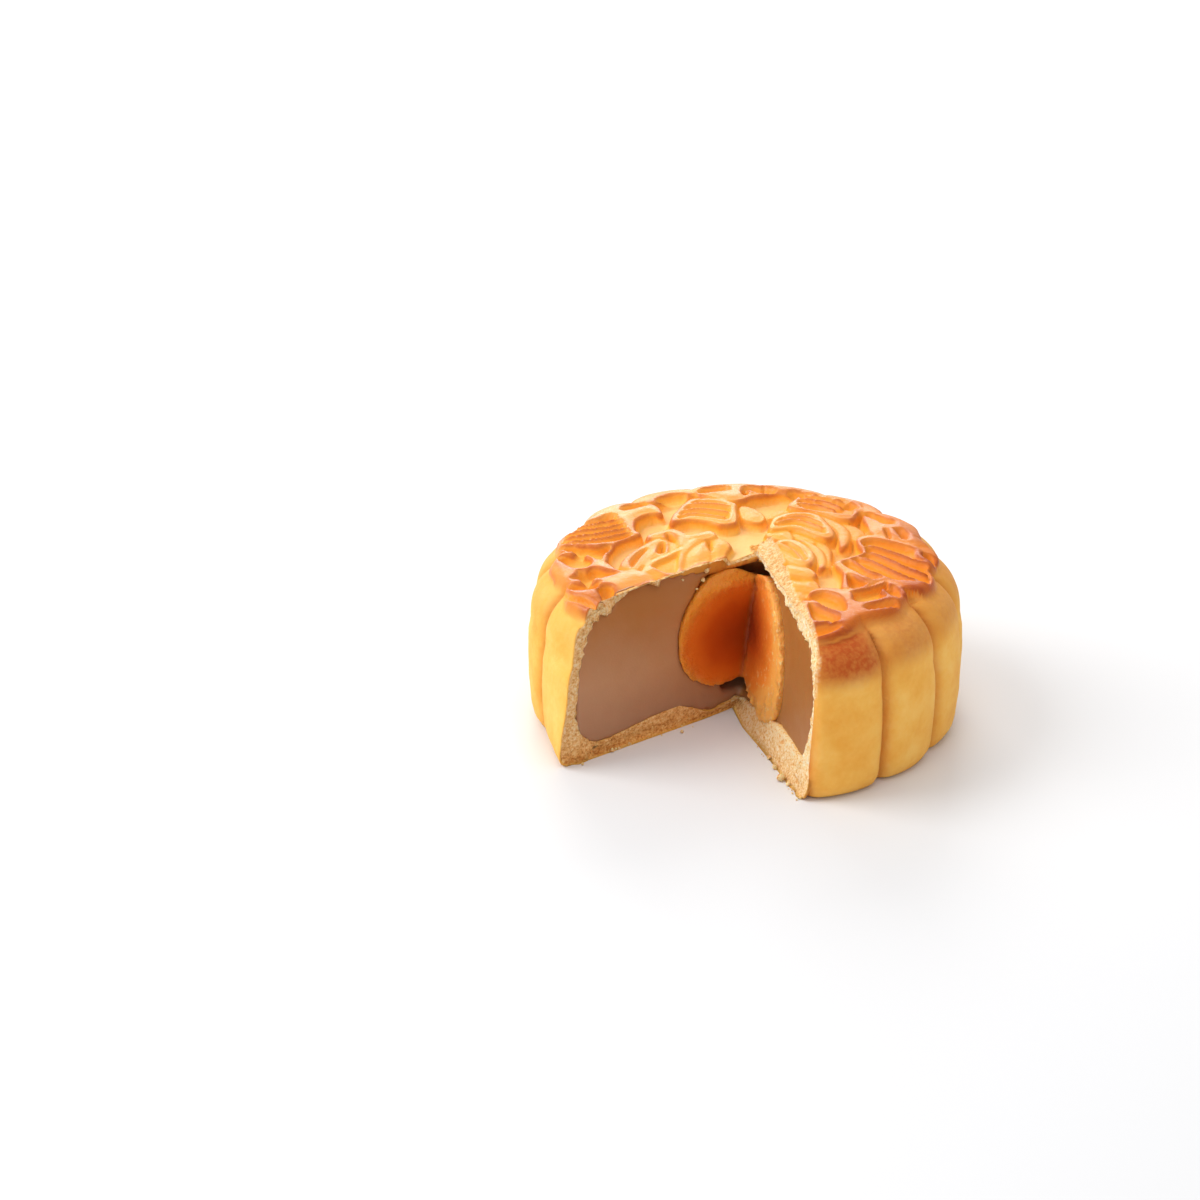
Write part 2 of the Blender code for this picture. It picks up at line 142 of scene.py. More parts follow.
# %% Figures of the pattern
PADS = [
    (1.0, [(-34.4, 4.6), (-33.4, 8), (-31.6, 11), (-30.4, 15), (-28, 19), (-24.5, 16.6), (-23.2, 13),
           (-22.4, 9.4), (-22, 5.6), (-19.4, 3.8), (-18.2, 1), (-18.8, -3), (-24, -6.5), (-33.4, -6.5),
           (-34.6, -1)]),
    (1.0, [(-30, 17), (-26.6, 16.8), (-23.6, 13.9), (-22.4, 10), (-20, 13.7), (-16, 16.4), (-12, 17),
           (-11.8, 19.2), (-9.6, 23), (-6.2, 24.1), (-4.2, 23.4), (-4, 28), (-10, 32), (-20, 27)]),
    (0.95, [(-10.2, 13.8), (-14, 12.5), (-18.2, 10.1), (-20.6, 7.7), (-21, 5.8), (-19.6, 3.9), (-17.4, 5.6),
            (-15, 8), (-12.6, 10.8), (-10, 12.6)]),
    (0.9, [(-17.6, 4.6), (-15, 7), (-12.2, 7.5), (-10.4, 9.4), (-9, 12.4), (-10.2, 13.4), (-12.4, 11.8),
           (-15.2, 9.2)]),
    (0.75, [(-12, 7.4), (-8.4, 8.5), (-8, 11), (-7.8, 13), (-9, 13), (-10.2, 10)]),
    (1.0, [(-11.6, 14.4), (-10.8, 15.9), (-8.4, 16.2), (-6, 15.8), (-5.2, 13.4), (-5.2, 11.2), (-7.4, 8.9),
           (-8.4, 8.9), (-7.6, 12), (-9.6, 13.6)]),
    (0.95, [(-5, 11), (-9, 8.5), (-12, 7.4), (-15, 6.6), (-17.6, 4.6), (-19.4, 2.6), (-18, 1.4), (-17.6, 0),
            (-14, -4), (-12.4, 0.4), (-10.6, 3.4), (-8.8, 6), (-5.6, 8.4), (-3.4, 9.6)]),
    (0.85, [(-12.6, 0), (-10.4, 3.2), (-8.6, 6), (-5.6, 8.2), (-2.8, 9.2), (-3.6, 7), (-5, 4.4), (-6.6, 1.2),
            (-9, -4)]),
    (0.75, [(-5.6, 2.6), (-3.6, 7), (-2.4, 9.6), (-0.4, 9.6), (0.2, 6.2), (-1.8, 4), (-3.8, 1.6), (-7, -2)]),
    (1.0, [(-5.4, 12), (-3, 12.1), (-0.8, 11.9), (-0.6, 9.8), (-2.6, 9), (-5, 10)]),
    (1.0, [(-4.4, 18.9), (-1.8, 18.3), (0, 16.9), (1.4, 15.2), (2.6, 13.3), (4.8, 12.8), (6.4, 15),
           (8.2, 18.6), (9.2, 20.6), (7.6, 23.6), (4, 26.2), (1.4, 25), (-1, 23), (-3.2, 21)]),
    (0.75, [(7.6, 14.6), (9.4, 19.2), (10.6, 19.7), (11.6, 17.8), (11.8, 15), (10.8, 12.8), (9, 12)]),
    (1.0, [(9.2, 7.7), (11, 10.4), (12.8, 12), (16, 12.4), (18.8, 11.2), (19.9, 9), (19.5, 6), (19, 3),
           (18, 0.6), (16.4, 0), (15, 1.8), (14, 4.6), (12.6, 6.6), (10.8, 7.1)]),
    (0.8, [(19.8, 10.4), (21.3, 8), (21.9, 5), (21.6, 2), (20.2, -1), (18.2, -3.4), (17, -3.6), (18.4, -0.6),
           (19.6, 2), (20, 6)]),
    (0.65, [(21, 9.4), (23, 6.4), (24, 3.6), (24, 0), (22.6, -1.6), (20.6, -1.4), (21.8, 2), (22, 5)]),
    (0.8, [(8, 7), (10.2, 6.9), (12, 6.4), (11.6, 4), (10.6, 2.6), (8.6, 3.6), (7.6, 5.4)]),
    (0.7, [(12.4, 5.6), (14, 3.8), (14.6, 1.4), (13.6, 0), (12.2, 1.4), (11.8, 4)]),
    (0.6, [(11.8, 13.3), (13.4, 14.9), (15.4, 15.8), (17, 15.1), (19.4, 12.8), (17, 13), (14, 13)]),
    (1.0, [(5.4, 1), (7, 2.5), (9.6, 2.5), (11, 0.8), (11.3, -2.4), (10.6, -5.4), (8.8, -7.8), (6.6, -8.4),
           (5.4, -6), (5.2, -2.6)]),
    (0.8, [(12, 2), (13.1, 0), (13.3, -3), (12.4, -6), (10.6, -9.2), (9.2, -9.6), (11, -6), (11.9, -2)]),
    (0.65, [(14.3, 1.6), (15.4, -0.6), (15.1, -3.2), (13.6, -6), (11.6, -9), (10.8, -9.4), (12.8, -6),
            (13.7, -2.6)]),
    (0.9, [(3.4, -6), (5.4, -6.8), (7.2, -9), (7.4, -11.4), (6, -12.6), (4, -11), (2.6, -8.6)]),
    (0.7, [(1.6, -10.4), (3.8, -12), (5.9, -12.6), (5.9, -15), (4.4, -17), (2.4, -16), (0.6, -13)]),
    (0.6, [(-0.6, -14), (1.6, -14.2), (3, -16), (2.4, -18.2), (0.4, -19), (-1.6, -17)]),
    (1.0, [(8.6, 22.4), (11, 21.5), (14, 22.3), (18, 21.9), (21, 20.4), (23.5, 21.5), (20, 26), (14, 29.5),
           (8, 31), (5.4, 29), (7, 25)]),
    (1.0, [(17.2, 15.2), (20.5, 18), (22.8, 20.4), (25.5, 18.5), (29.5, 12.5), (28, 8.5), (26, 6.8),
           (24.5, 5.5), (22.3, 6.6), (21, 9.5), (19.5, 12)]),
    (1.0, [(24.4, -1.6), (25.6, 2), (26.6, 4.8), (28.2, 6), (30.5, 4.5), (32.3, 0), (32.4, -5), (31, -9),
           (28.8, -9), (27.2, -7), (25.8, -4.6)]),
    (1.0, [(8.6, -18.6), (10, -16.4), (11.6, -13.6), (12, -10.4), (13, -9), (17.6, -8.3), (19.2, -7.4),
           (20, -4.6), (21.2, -2.2), (24.2, -2.2), (26.4, -4.4), (28.8, -9), (28.8, -12), (29, -15),
           (28, -17.4), (26.8, -20), (24.4, -23), (21, -25), (18, -24), (17.6, -20.5), (16.6, -18.8),
           (13, -19.6), (9.6, -19.9)]),
    (1.0, [(2.6, -17.6), (5, -17), (7.4, -18.2), (9, -19.6), (13, -20), (16.6, -19), (18.2, -21), (18.4, -25),
           (17, -28.4), (13, -30), (6, -31), (-4.5, -32), (-5.4, -28), (-2.6, -23), (-0.4, -19.8),
           (1.4, -20.2)]),
]
HOLLOWS = [
    (1.5, [(-28, 16.2), (-28.5, 13), (-28.2, 10), (-26.6, 9.4), (-24.9, 10.4), (-24, 12.6), (-25.2, 14.6)]),
    (1.3, [(-30.6, 7.1), (-27.6, 8), (-25.6, 8.5), (-24, 6.8), (-22.6, 4.7), (-25.4, 4.1), (-28.6, 5)]),
    (1.2, [(-31.8, 5.4), (-32, 3.6), (-31, 1.9), (-29.4, 1.2), (-27.9, 2.1), (-27.1, 3.1), (-29.4, 3.9)]),
    (1.0, [(-33.2, 6.4), (-33.5, 2.4), (-32.8, -1), (-31.6, -4.2), (-30.6, -3.6), (-31.4, -0.6), (-32.5, 1.6),
           (-32.7, 5)]),
    (1.7, [(-28.2, 1.6), (-26.8, 1.6), (-26, 0.2), (-27.2, -3), (-28.6, -6), (-30, -5), (-29, -1)]),
    (1.2, [(-26.2, 19.2), (-25.6, 16.6), (-24, 14.9), (-22.9, 11.4), (-21.2, 13), (-18.4, 15.4),
           (-21.2, 16.1), (-22.8, 17.6), (-24.4, 19)]),
    (0.8, [(-25, 20.6), (-22.6, 18.2), (-19, 16.6), (-13.4, 17.4), (-12.8, 20), (-12, 23.4), (-13, 26),
           (-19, 26.4), (-23.5, 23.6)]),
    (0.8, [(-19.6, 5.2), (-16.6, 8.2), (-13.6, 10.9), (-15.4, 10.6), (-18.8, 7.8)]),
    (1.0, [(-13, 8.6), (-11.8, 8.2), (-10.6, 10), (-9.8, 12), (-11.2, 11.4)]),
    (1.0, [(-8.6, 13.6), (-8.2, 11.8), (-7.6, 11.6), (-7.3, 13.2), (-7.7, 14.8)]),
    (0.9, [(-4.2, 5.2), (-3.5, 6.2), (-2.4, 8.8), (-3, 8.8), (-3.9, 7)]),
    (0.6, [(-16.4, 4.4), (-12.6, 5.9), (-9.6, 7), (-11.2, 4), (-13.4, 0.8), (-15.6, 1.4)]),
    (0.9, [(1, -18.7), (4.4, -18.2), (6, -20.6), (6.2, -23), (5.4, -25.6), (4.4, -26.6), (2.9, -25.2),
           (1.9, -22.6), (1.9, -20.6)]),
    (1.1, [(9.2, -20.6), (12, -20.4), (15.4, -20.2), (16.6, -19.6), (16, -21.6), (13.8, -22.6), (13.6, -24.6),
           (11, -25), (8.8, -24.8), (7.7, -23.7), (8.6, -22)]),
    (0.7, [(8.4, -26.3), (13.8, -26.2), (14, -28), (8.8, -27.8)]),
    (0.8, [(14.6, -22.6), (16.6, -21.2), (17.2, -23), (16.4, -25.4), (14.9, -25.4)]),
    (0.9, [(-2, -27), (-1, -23.6), (0.3, -21.4), (1.5, -23.2), (2.5, -26), (2.6, -28), (1.4, -28.9),
           (-0.6, -28.1)]),
    (0.8, [(-4.4, -31), (-4.2, -28.8), (-2.4, -28.4), (0, -29.2), (1.6, -30.2), (-1, -31.2)]),
    (0.8, [(13.4, -10), (17.4, -9), (19.8, -7.4), (21, -3.9), (23.2, -3.8), (25.8, -6.4), (27.8, -9.8),
           (26.8, -13), (26.8, -17), (25.4, -20), (23.4, -22.2), (21.6, -21.8), (18.6, -19.8), (17.4, -18),
           (14.4, -17.6), (13.3, -14)]),
    (1.3, [(9.8, -19.2), (10.4, -17.2), (12, -14.6), (12.8, -16.8), (13.4, -18.6), (12, -19.3)]),
    (1.2, [(27.4, -13.6), (28.8, -11.8), (29.8, -13.2), (28.5, -16.2)]),
    (1.5, [(17.8, -26.4), (18.4, -23.2), (20.8, -24.8), (21, -26.6)]),
    (0.8, [(26, -4.6), (26.4, -2.6), (27.1, -1.2), (27.5, -2), (26.6, -4.6)]),
    (0.9, [(28.5, -6.5), (28.3, -4), (28.9, -1.8), (29.9, -2.4), (29.8, -5.2)]),
    (0.7, [(27.9, 1), (28, 3.6), (29.6, 3.9), (30.8, 1.6), (29.8, -0.2)]),
    (1.2, [(12.4, 23), (12.8, 24.8), (13.9, 25.2), (13.7, 23.6)]),
    (1.2, [(16, 22.9), (16.6, 24.6), (17.8, 25), (17.3, 23.4)]),
    (0.6, [(18.8, 14.8), (22.8, 19), (25.4, 17.4), (28, 12.6), (26.6, 8.4), (24.6, 7), (22.2, 9.6)]),
    (0.5, [(-3, 19.6), (-0.6, 19), (2, 16.6), (4, 14.4), (6, 16.4), (7.8, 20), (6.6, 23), (4, 24.8),
           (1, 23.6)]),
    (0.5, [(10.6, 8.4), (12.8, 10.8), (16, 11.4), (18.6, 9.6), (18.2, 4.4), (17, 1.6), (15.6, 3), (14, 6.8)]),
    (0.5, [(6.4, 0.6), (9.2, 1.4), (10.2, -1), (10, -4.6), (8, -6.8), (6.6, -5), (6.2, -2)]),
]
VEINS = [
    [(-19.4, 25.8), (-15.6, 25.2), (-11.6, 24.3)],
    [(-21.8, 24.4), (-17, 23.2), (-12, 22.4)],
    [(-23.4, 22.6), (-18, 21.2), (-12.4, 20.5)],
    [(-24, 20.5), (-18.6, 19), (-13, 18.6)],
    [(-23.4, 18.2), (-20.4, 16.7), (-17, 16.2)],
    [(20, -6), (21.6, -6.4), (24, -10.4), (25.6, -14), (27.4, -16.8)],
    [(18.6, -7.8), (20.2, -8.8), (22, -13), (22.9, -16), (24.4, -19.8)],
    [(17.4, -9.4), (18.7, -12), (19.6, -15.4), (20.8, -19), (22.5, -22.9)],
    [(15.2, -9.2), (15.7, -12), (15.9, -14.4), (17.2, -17.4), (18.5, -20.8)],
    [(13, -9.4), (12.9, -12), (13.4, -15.2), (14.6, -18), (16.6, -18.8)],
    [(19.2, 15.8), (22, 13.2), (23.4, 9.8)],
    [(20.8, 17.3), (23.8, 14.6), (25.2, 10.6)],
    [(22.6, 18.8), (25.6, 16), (27, 12)],
    [(-2.6, 20.4), (0.6, 19.6), (4.2, 15.6)],
    [(-0.6, 22.2), (2.6, 21), (6, 17.4)],
    [(1.6, 24.2), (4.6, 22.8), (7.6, 20)],
    [(11.8, 9.6), (15.2, 9), (17.6, 4.2)],
    [(14, 11), (17.2, 9.6), (18.8, 6)],
    [(7.4, 1.4), (8.2, -2), (7.6, -6)],
    [(9.4, 1.4), (9.9, -2.2), (9, -5.8)],
    [(-19.2, 5.2), (-15.8, 8.2), (-12.6, 11.4), (-10.2, 13.2)],
    [(-12, 7.6), (-10.2, 10), (-9.2, 12.6)],
    [(-12.6, 0.2), (-10.5, 3.3), (-8.6, 6.1), (-5.6, 8.3), (-3, 9.8)],
]
print(f"{len(PADS)} pads, {len(HOLLOWS)} hollows and {len(VEINS)} veins")


# %% Distances to a drawn line
def flowing(points, closed, steps=5):
    """A smooth line through the points, as many short straight pieces."""
    p = np.array(points, float)
    if closed:
        p = np.vstack([p[-1], p, p[0], p[1]])
    else:
        p = np.vstack([2 * p[0] - p[1], p, 2 * p[-1] - p[-2]])
    t = (np.arange(steps) / steps)[:, None]
    line = []
    for a, b, c, d in zip(p, p[1:], p[2:], p[3:]):
        bend = (2 * a - 5 * b + 4 * c - d) * t**2 + (3 * b - a - 3 * c + d) * t**3
        line.append(0.5 * (2 * b + (c - a) * t + bend))
    return np.vstack([*line, p[-2:-1]])


def distance(line, x, y):
    """How far each spot is from the line."""
    best = np.full(x.shape, 1e9)
    for (ax, ay), (bx, by) in zip(line[:-1], line[1:]):
        dx, dy = bx - ax, by - ay
        t = np.clip(((x - ax) * dx + (y - ay) * dy) / (dx * dx + dy * dy + 1e-12), 0, 1)
        best = np.minimum(best, (x - ax - t * dx) ** 2 + (y - ay - t * dy) ** 2)
    return np.sqrt(best)


def depth_inside(line, x, y):
    """How far each spot is inside a closed line, and less than nothing outside it."""
    inside = np.zeros(x.shape, bool)
    for (ax, ay), (bx, by) in zip(line[:-1], line[1:]):
        if ay != by:
            crossing = ((ay > y) != (by > y)) & (x < (bx - ax) * (y - ay) / (by - ay) + ax)
            inside ^= crossing
    return np.where(inside, 1, -1) * distance(line, x, y)


def near(line, x, y, margin):
    """The spots close enough to a line to matter."""
    low, high = line.min(0) - margin, line.max(0) + margin
    return np.where((x > low[0]) & (x < high[0]) & (y > low[1]) & (y < high[1]))[0]


# %% [markdown]
# The figures are laid over each other. Where two plateaus overlap the higher one counts, so petals lie
# close together with a crease between them, as they do in a carved mould.

# %% Height of the pattern
PAD_EDGE = 0.85
FLOOR_DROP = 0.7
RELIEF = 2.5
VEIN_WIDTH = 0.36
HOLLOW_DEPTH = 1.55
LOBES = 16
COLLAR = 33.9
COLLAR_WAVE = 0.6
COLLAR_DIP = 2.5
COLLAR_FRONT = math.radians(-73)
BORDER_IN = 27.6
BACK_RING = 29.2
BACK_LEAF = [(-3.2, -0.4), (-1.2, 1.1), (1.6, 0.9), (3.2, -0.2), (1.2, -1.2), (-1.4, -1.3)]


def back_leaves():
    """Plain pointed hollows for the part of the border that lies at the back."""
    leaves = []
    for angle in np.radians(range(8, 170, 16)):
        out = np.array([math.cos(angle), math.sin(angle)])
        along = np.array([-out[1], out[0]])
        leaves.append((0.9, [tuple(out * (BACK_RING + b) + along * a) for a, b in BACK_LEAF]))
    return leaves


def smooth(t):
    """A soft step from 0 to 1."""
    t = np.clip(t, 0, 1)
    return t * t * (3 - 2 * t)


def bell(t):
    """A bump that is 1 in the middle and fades away from it."""
    return np.exp(-(t**2))


def collar_edge(x, y):
    """Radius at which the border of leaves ends: it follows the lobes and draws in at the front."""
    angle = np.arctan2(y, x)
    from_front = (angle - COLLAR_FRONT + math.pi) % math.tau - math.pi
    return COLLAR + COLLAR_WAVE * np.cos(LOBES * angle) - COLLAR_DIP * bell(from_front / 0.55)


def pattern(x, y):
    """Height of the moulded pattern over the plain dome, in millimetres, and its rise from 0 to 1."""
    r = np.hypot(x, y)
    collar = collar_edge(x, y)
    ring = smooth(np.minimum((collar + 0.6 - r) / 1.8, (r - BORDER_IN) / 1.2))
    rise = 0.8 * ring
    for height, outline in PADS:
        line = flowing(outline, True)
        here = near(line, x, y, PAD_EDGE)
        inward = depth_inside(line, x[here], y[here])
        side = np.sin(np.clip(1 + (inward - 0.15) / PAD_EDGE, 0, 1) * math.pi / 2) ** 0.9
        rise[here] = np.maximum(rise[here], height * side * (0.86 + 0.14 * smooth(inward / 2.2)))
    scoop = np.zeros(x.shape)
    for depth, outline in HOLLOWS + back_leaves():
        line = flowing(outline, True)
        here = near(line, x, y, 0.4)
        bowl = smooth((depth_inside(line, x[here], y[here]) + 0.25) / 0.95)
        scoop[here] = np.maximum(scoop[here], HOLLOW_DEPTH * depth * bowl)
    vein = np.zeros(x.shape)
    for points in VEINS:
        line = flowing(points, False)
        here = near(line, x, y, 3 * VEIN_WIDTH)
        vein[here] = np.maximum(vein[here], bell(distance(line, x[here], y[here]) / VEIN_WIDTH))
    lift = RELIEF * rise - scoop * (1 - 0.9 * vein) * np.clip(rise * 1.5, 0, 1)
    over = smooth((collar + 0.9 - r) / 2.4)
    return (lift - FLOOR_DROP) * over, np.clip(lift / RELIEF, 0, 1)


def dome(r):
    """Height of the plain top."""
    out = np.clip((r - FIELD) / SHOULDER, 0, 1)
    flat = RIM + DOME * (1 - (np.minimum(r, FIELD) / FIELD) ** 2)
    return np.where(r <= FIELD, flat, RIM - SHOULDER + SHOULDER * (1 - out**FULLNESS) ** (1 / FULLNESS))


# %% [markdown]
# ## The crust's outer skin
# The skin is a turned form: its outline from the middle of the base to the middle of the top is traced
# point by point, then spun round the axis as on a lathe. The outline has many points because the mould's
# pattern is pressed into the turned skin afterwards, by moving its vertices, and a vein is less than a
# millimetre wide.


# %% Trace and spin
def pick(*pieces):
    """Selects these pieces and nothing else, with the first as the active one."""
    bpy.ops.object.select_all(action="DESELECT")
    for piece in reversed(pieces):
        piece.select_set(True)
        bpy.context.view_layer.objects.active = piece


def named(name):
    """The primitive that was just added, under its own name."""
    piece = bpy.context.object
    piece.name = piece.data.name = name
    return piece


def in_edit_mode(*steps):
    """Runs operators in edit mode with all of the active mesh selected."""
    bpy.ops.object.mode_set(mode="EDIT")
    for step, settings in steps:
        bpy.ops.mesh.select_all(action="SELECT")
        step(**settings)
    bpy.ops.object.mode_set(mode="OBJECT")


def face_outwards():
    """Turns the faces of the active closed mesh outwards."""
    in_edit_mode((bpy.ops.mesh.normals_make_consistent, {"inside": False}))


def spaced(points, steps):
    """Points along a broken line, with each of its stretches cut into its own number of steps."""
    row = []
    for a, b, n in zip(points, points[1:], steps):
        row += [(a[0] + (b[0] - a[0]) * i / n, a[1] + (b[1] - a[1]) * i / n) for i in range(n)]
    return row + [points[-1]]


def arc(centre, radius, start, end, steps, fullness=2):
    """Points (r, z) on an arc, angles in degrees up from outwards. A fullness over 2 squares its corner."""
    points = []
    for i in range(steps + 1):
        a = math.radians(start + (end - start) * i / steps)
        bow = [math.copysign(abs(way) ** (2 / fullness), way) for way in (math.cos(a), math.sin(a))]
        points.append((centre[0] + radius * bow[0], centre[1] + radius * bow[1]))
    return points


def spun(name, outline, steps, turn=TURN):
    """An outline of points (r, z) in millimetres, spun from the right wall round to the left one."""
    pick()
    bpy.ops.mesh.primitive_plane_add(size=MM)
    piece = named(name)
    side = Vector((math.cos(RIGHT_WALL), math.sin(RIGHT_WALL), 0))
    places = [(side * r + Vector((0, 0, z))) * MM for r, z in outline]
    bpy.ops.object.mode_set(mode="EDIT")
    bpy.ops.mesh.select_mode(type="VERT")
    bpy.ops.mesh.select_all(action="SELECT")
    bpy.ops.mesh.merge(type="CENTER")
    bpy.ops.transform.translate(value=places[0])
    for here, there in zip(places, places[1:]):
        bpy.ops.mesh.extrude_region_move(TRANSFORM_OT_translate={"value": there - here})
    turning = {"steps": steps, "angle": -turn, "center": (0, 0, 0), "axis": (0, 0, 1)}
    in_edit_mode((bpy.ops.mesh.spin, turning), (bpy.ops.mesh.remove_doubles, {"threshold": 0.002 * MM}))
    return piece


def places_of(piece):
    """A mesh's vertex places, in millimetres."""
    flat = np.empty(len(piece.data.vertices) * 3)
    piece.data.vertices.foreach_get("co", flat)
    return flat.reshape(-1, 3) / MM


def set_places(piece, places):
    """Puts moved vertices back into a mesh."""
    piece.data.vertices.foreach_set("co", (np.asarray(places) * MM).ravel())
    piece.data.update()


RINGS = 94
BASE_LINE = [(0, 0), (31, 0), (35.2, 0), (36.4, 0.5), (37.2, 1.8)]
SIDE_LINE = [(37.5, 3.2), (37.9, 8), (38, 12), (37.9, 16), (37.5, 18.6)]
skin_outline = spaced(BASE_LINE, [4, 4, 3, 3]) + spaced(SIDE_LINE, [5, 5, 5, 4])[:-1]
skin_outline += arc((FIELD, RIM - SHOULDER), SHOULDER, 0, 90, 38, FULLNESS)[:-1]
skin_outline += [(FIELD * (1 - i / RINGS), RIM) for i in range(RINGS + 1)]
SKIN_STEPS = 470
skin = spun("crust_skin", skin_outline, SKIN_STEPS)
print(f"{len(skin_outline)} points in the outline, {len(skin.data.polygons)} faces")

# %% [markdown]
# Sixteen lobes stand round the side, full and a little flat, with narrow grooves between them that run out
# under the border of leaves. No two lobes are quite alike: hands pressed this dough, and it slumped as it
# baked. Along the right cut the knife broke the top's edge away, and a slope of bare crumb is left there.

# %% Lobes, pattern and slump
GROOVE_BROAD = 0.75
GROOVE_CREASE = 2.1
CREASE_WIDTH = 0.7
LOBE_HALF = 7.4
LEFT_WORN = 0.6
FLARE = ([0, 2, 6, 9, 13, 17], [3.2, 2.7, 1.9, 0.9, 0.1, 0])
SUNK = 0.7
SHRUNK = 0.15
BROKEN_WIDTH = ([0, 5, 12, 20, 30, 36], [3.3, 3.1, 2.3, 1.4, 0.9, 0.5])
BROKEN_SHARE = ([0, 12, 20, 30], [1, 1, 0.6, 0.3])
GROOVE_TOP = (25.5, 28.2)


def grain(places, size, seed):
    """Smooth random values from -1 to 1, one for each place."""
    shift = Vector((seed * 17.3, seed * 5.1, seed * 9.7))
    return np.array([noise.noise(Vector(p) / size + shift) for p in places])


def turned_from(wall, angle):
    """How far round the axis each angle lies from a cut."""
    return np.abs((angle - wall + math.pi) % math.tau - math.pi)


def groove(angle, z):
    """How deep the side is pressed in: lobes a little round, with a narrow crease between."""
    turn = angle / math.tau * LOBES
    across = np.abs(turn - np.round(turn)) * 2
    ends = 1 - smooth((z - GROOVE_TOP[0]) / (GROOVE_TOP[1] - GROOVE_TOP[0]))
    uneven = 1 + 0.2 * np.sin(np.round(turn - 0.5) * 2.4)
    crease = GROOVE_CREASE * uneven * np.exp(-((1 - across) * LOBE_HALF / CREASE_WIDTH))
    by_right = 0.45 * bell(turned_from(RIGHT_WALL, angle) / 0.08) * np.clip(1 - z / 9, 0, 1)
    kept = 1 - bell(turned_from(LEFT_WALL, angle) / 0.1) - by_right
    return (GROOVE_BROAD * across**2 + crease) * ends * kept


def turned_places(piece):
    """The ring, the way round from the right wall and the height of each point of a turned piece."""
    p = places_of(piece)
    ring = np.hypot(p[:, 0], p[:, 1])
    return ring, np.where(ring < 1e-3, 0, way_round(p[:, 0], p[:, 1])), p[:, 2]


def press(piece):
    """Bends a turned skin round the corner of the cut, presses its relief in, and returns its masks."""
    ring, turn, z = turned_places(piece)
    x, y = on_ring(ring, turn, z)
    r = np.hypot(x, y)
    angle = np.arctan2(y, x)
    on_top = z > RIM - SHOULDER + 0.01
    height, level = pattern(x, y)
    height, level = np.where(on_top, height, 0), np.where(on_top, level, 0)
    top = np.minimum(dome(r), CUT_HEIGHTS[-1])
    behind, along = from_cut(x, y, top, True)
    height -= LEFT_WORN * level * bell(behind / 2) * (along > -2)
    behind, along = from_cut(x, y, top, False)
    spots = np.stack([x, y, z], 1)
    width = np.interp(along, *BROKEN_WIDTH) + 0.45 * grain(spots, 1.5, 15) + 0.25 * grain(spots, 0.6, 16)
    broken = smooth((width - behind) / 0.4) * on_top * (along > -1.5) * (behind > -1)
    slope_up = -0.3 + 1.2 * np.clip(behind / width, 0, 1) + 0.35 * grain(spots, 0.7, 17)
    height += (slope_up - height) * broken * np.interp(along, *BROKEN_SHARE)
    slope = np.clip((r - FIELD) / SHOULDER, 0, 1)
    flat = np.where(on_top, dome(r), z)
    out = slope**1.5 * height
    slump = 0.25 * grain(spots, 14, 1) + 0.08 * grain(spots, 3.5, 2)
    pressed = groove(angle, z) * np.clip((r - 20) / 8, 0, 1)
    by_left = turned_from(LEFT_WALL, angle)
    flare = np.interp(z, *FLARE) * bell(by_left / 0.16)
    sunk = SUNK * bell(by_left / 0.12) * smooth((z - 15) / 5) * (1 - smooth((z - 22) / 5))
    new_r = r + out - pressed + (slump + flare - sunk) * np.clip((r - 20) / 12, 0, 1) - SHRUNK
    up = flat + height * np.sqrt(1 - slope**2) + np.where(on_top, 0.4 * slump, 0) * np.clip(r / 20, 0, 1)
    scale = np.where(r > 1e-6, new_r / np.maximum(r, 1e-6), 1)
    set_places(piece, np.stack([x * scale, y * scale, np.clip(up, 0, TOP)], 1))
    inward = collar_edge(x, y) - r
    return level, smooth((inward + 2.2 * np.minimum(1.5 * level, 1) - 1.2) / 1.7) * on_top, broken


level, field, broken = press(skin)
print(f"pattern from {level.min():.2f} to {level.max():.2f}")
skin_count = len(skin.data.vertices)

# %% [markdown]
# ## The inside of the crust and its cut faces
# The inner skin is spun in the same way, with as many points in its outline, so that each point on the rim
# of one skin has a partner on the rim of the other. Bridging the two rims makes the cut faces. Here the
# dough is thin on top, where the mould pressed it, and thickest at the foot of the right cut, where it was
# folded together.

# %% Inner skin
WALL_IN = 34.4
FLOOR_IN = 3.3
ROOF_IN = 26.2
LEFT_FLOOR = ([0, 3, 6.8, 10.2, 13.6, 19, 22.4, 25.5, 28.3, 31, 34.5],
              [1.4, 1.3, 0.8, 2.4, 4.2, 3.8, 3.6, 2.9, 2.6, 2.6, 3.8])
RIGHT_FLOOR = ([0, 4, 10, 13.7, 17.2, 22, 27.5, 31], [1.6, 3.1, 4.0, 4.9, 6.3, 5.7, 5.9, 5.5])
RIGHT_ROOF = ([0, 4, 8, 13.3, 19, 22.3, 27, 32.4], [26.6, 27.0, 27.1, 26.5, 25.8, 25.4, 25.7, 24.8])
LEFT_SIDE = ([3, 5.5, 8.5, 12, 16, 20, 24], [34.6, 35.4, 36.0, 35.7, 35.3, 34.8, 34.2])
RIGHT_SIDE = ([3, 5.5, 10, 14, 18, 24], [31.2, 32.0, 33.4, 34.2, 34.6, 34.4])
HIGHEST_ROOF = 29.1
LEFT_SKIN = 0.45
EDGE_ROW = 0.03
LINING_STEPS = 72


def partner_points(outline, inner):
    """The inner outline, with its points shared out as the outer one's are."""
    outer = np.array(outline)
    inner = np.array(inner)
    ways = []
    for line in (outer, inner):
        steps = np.hypot(*np.diff(line, axis=0).T)
        ways.append(np.concatenate([[0], np.cumsum(steps)]) / steps.sum())
    return [(np.interp(t, ways[1], inner[:, 0]), np.interp(t, ways[1], inner[:, 1])) for t in ways[0]]


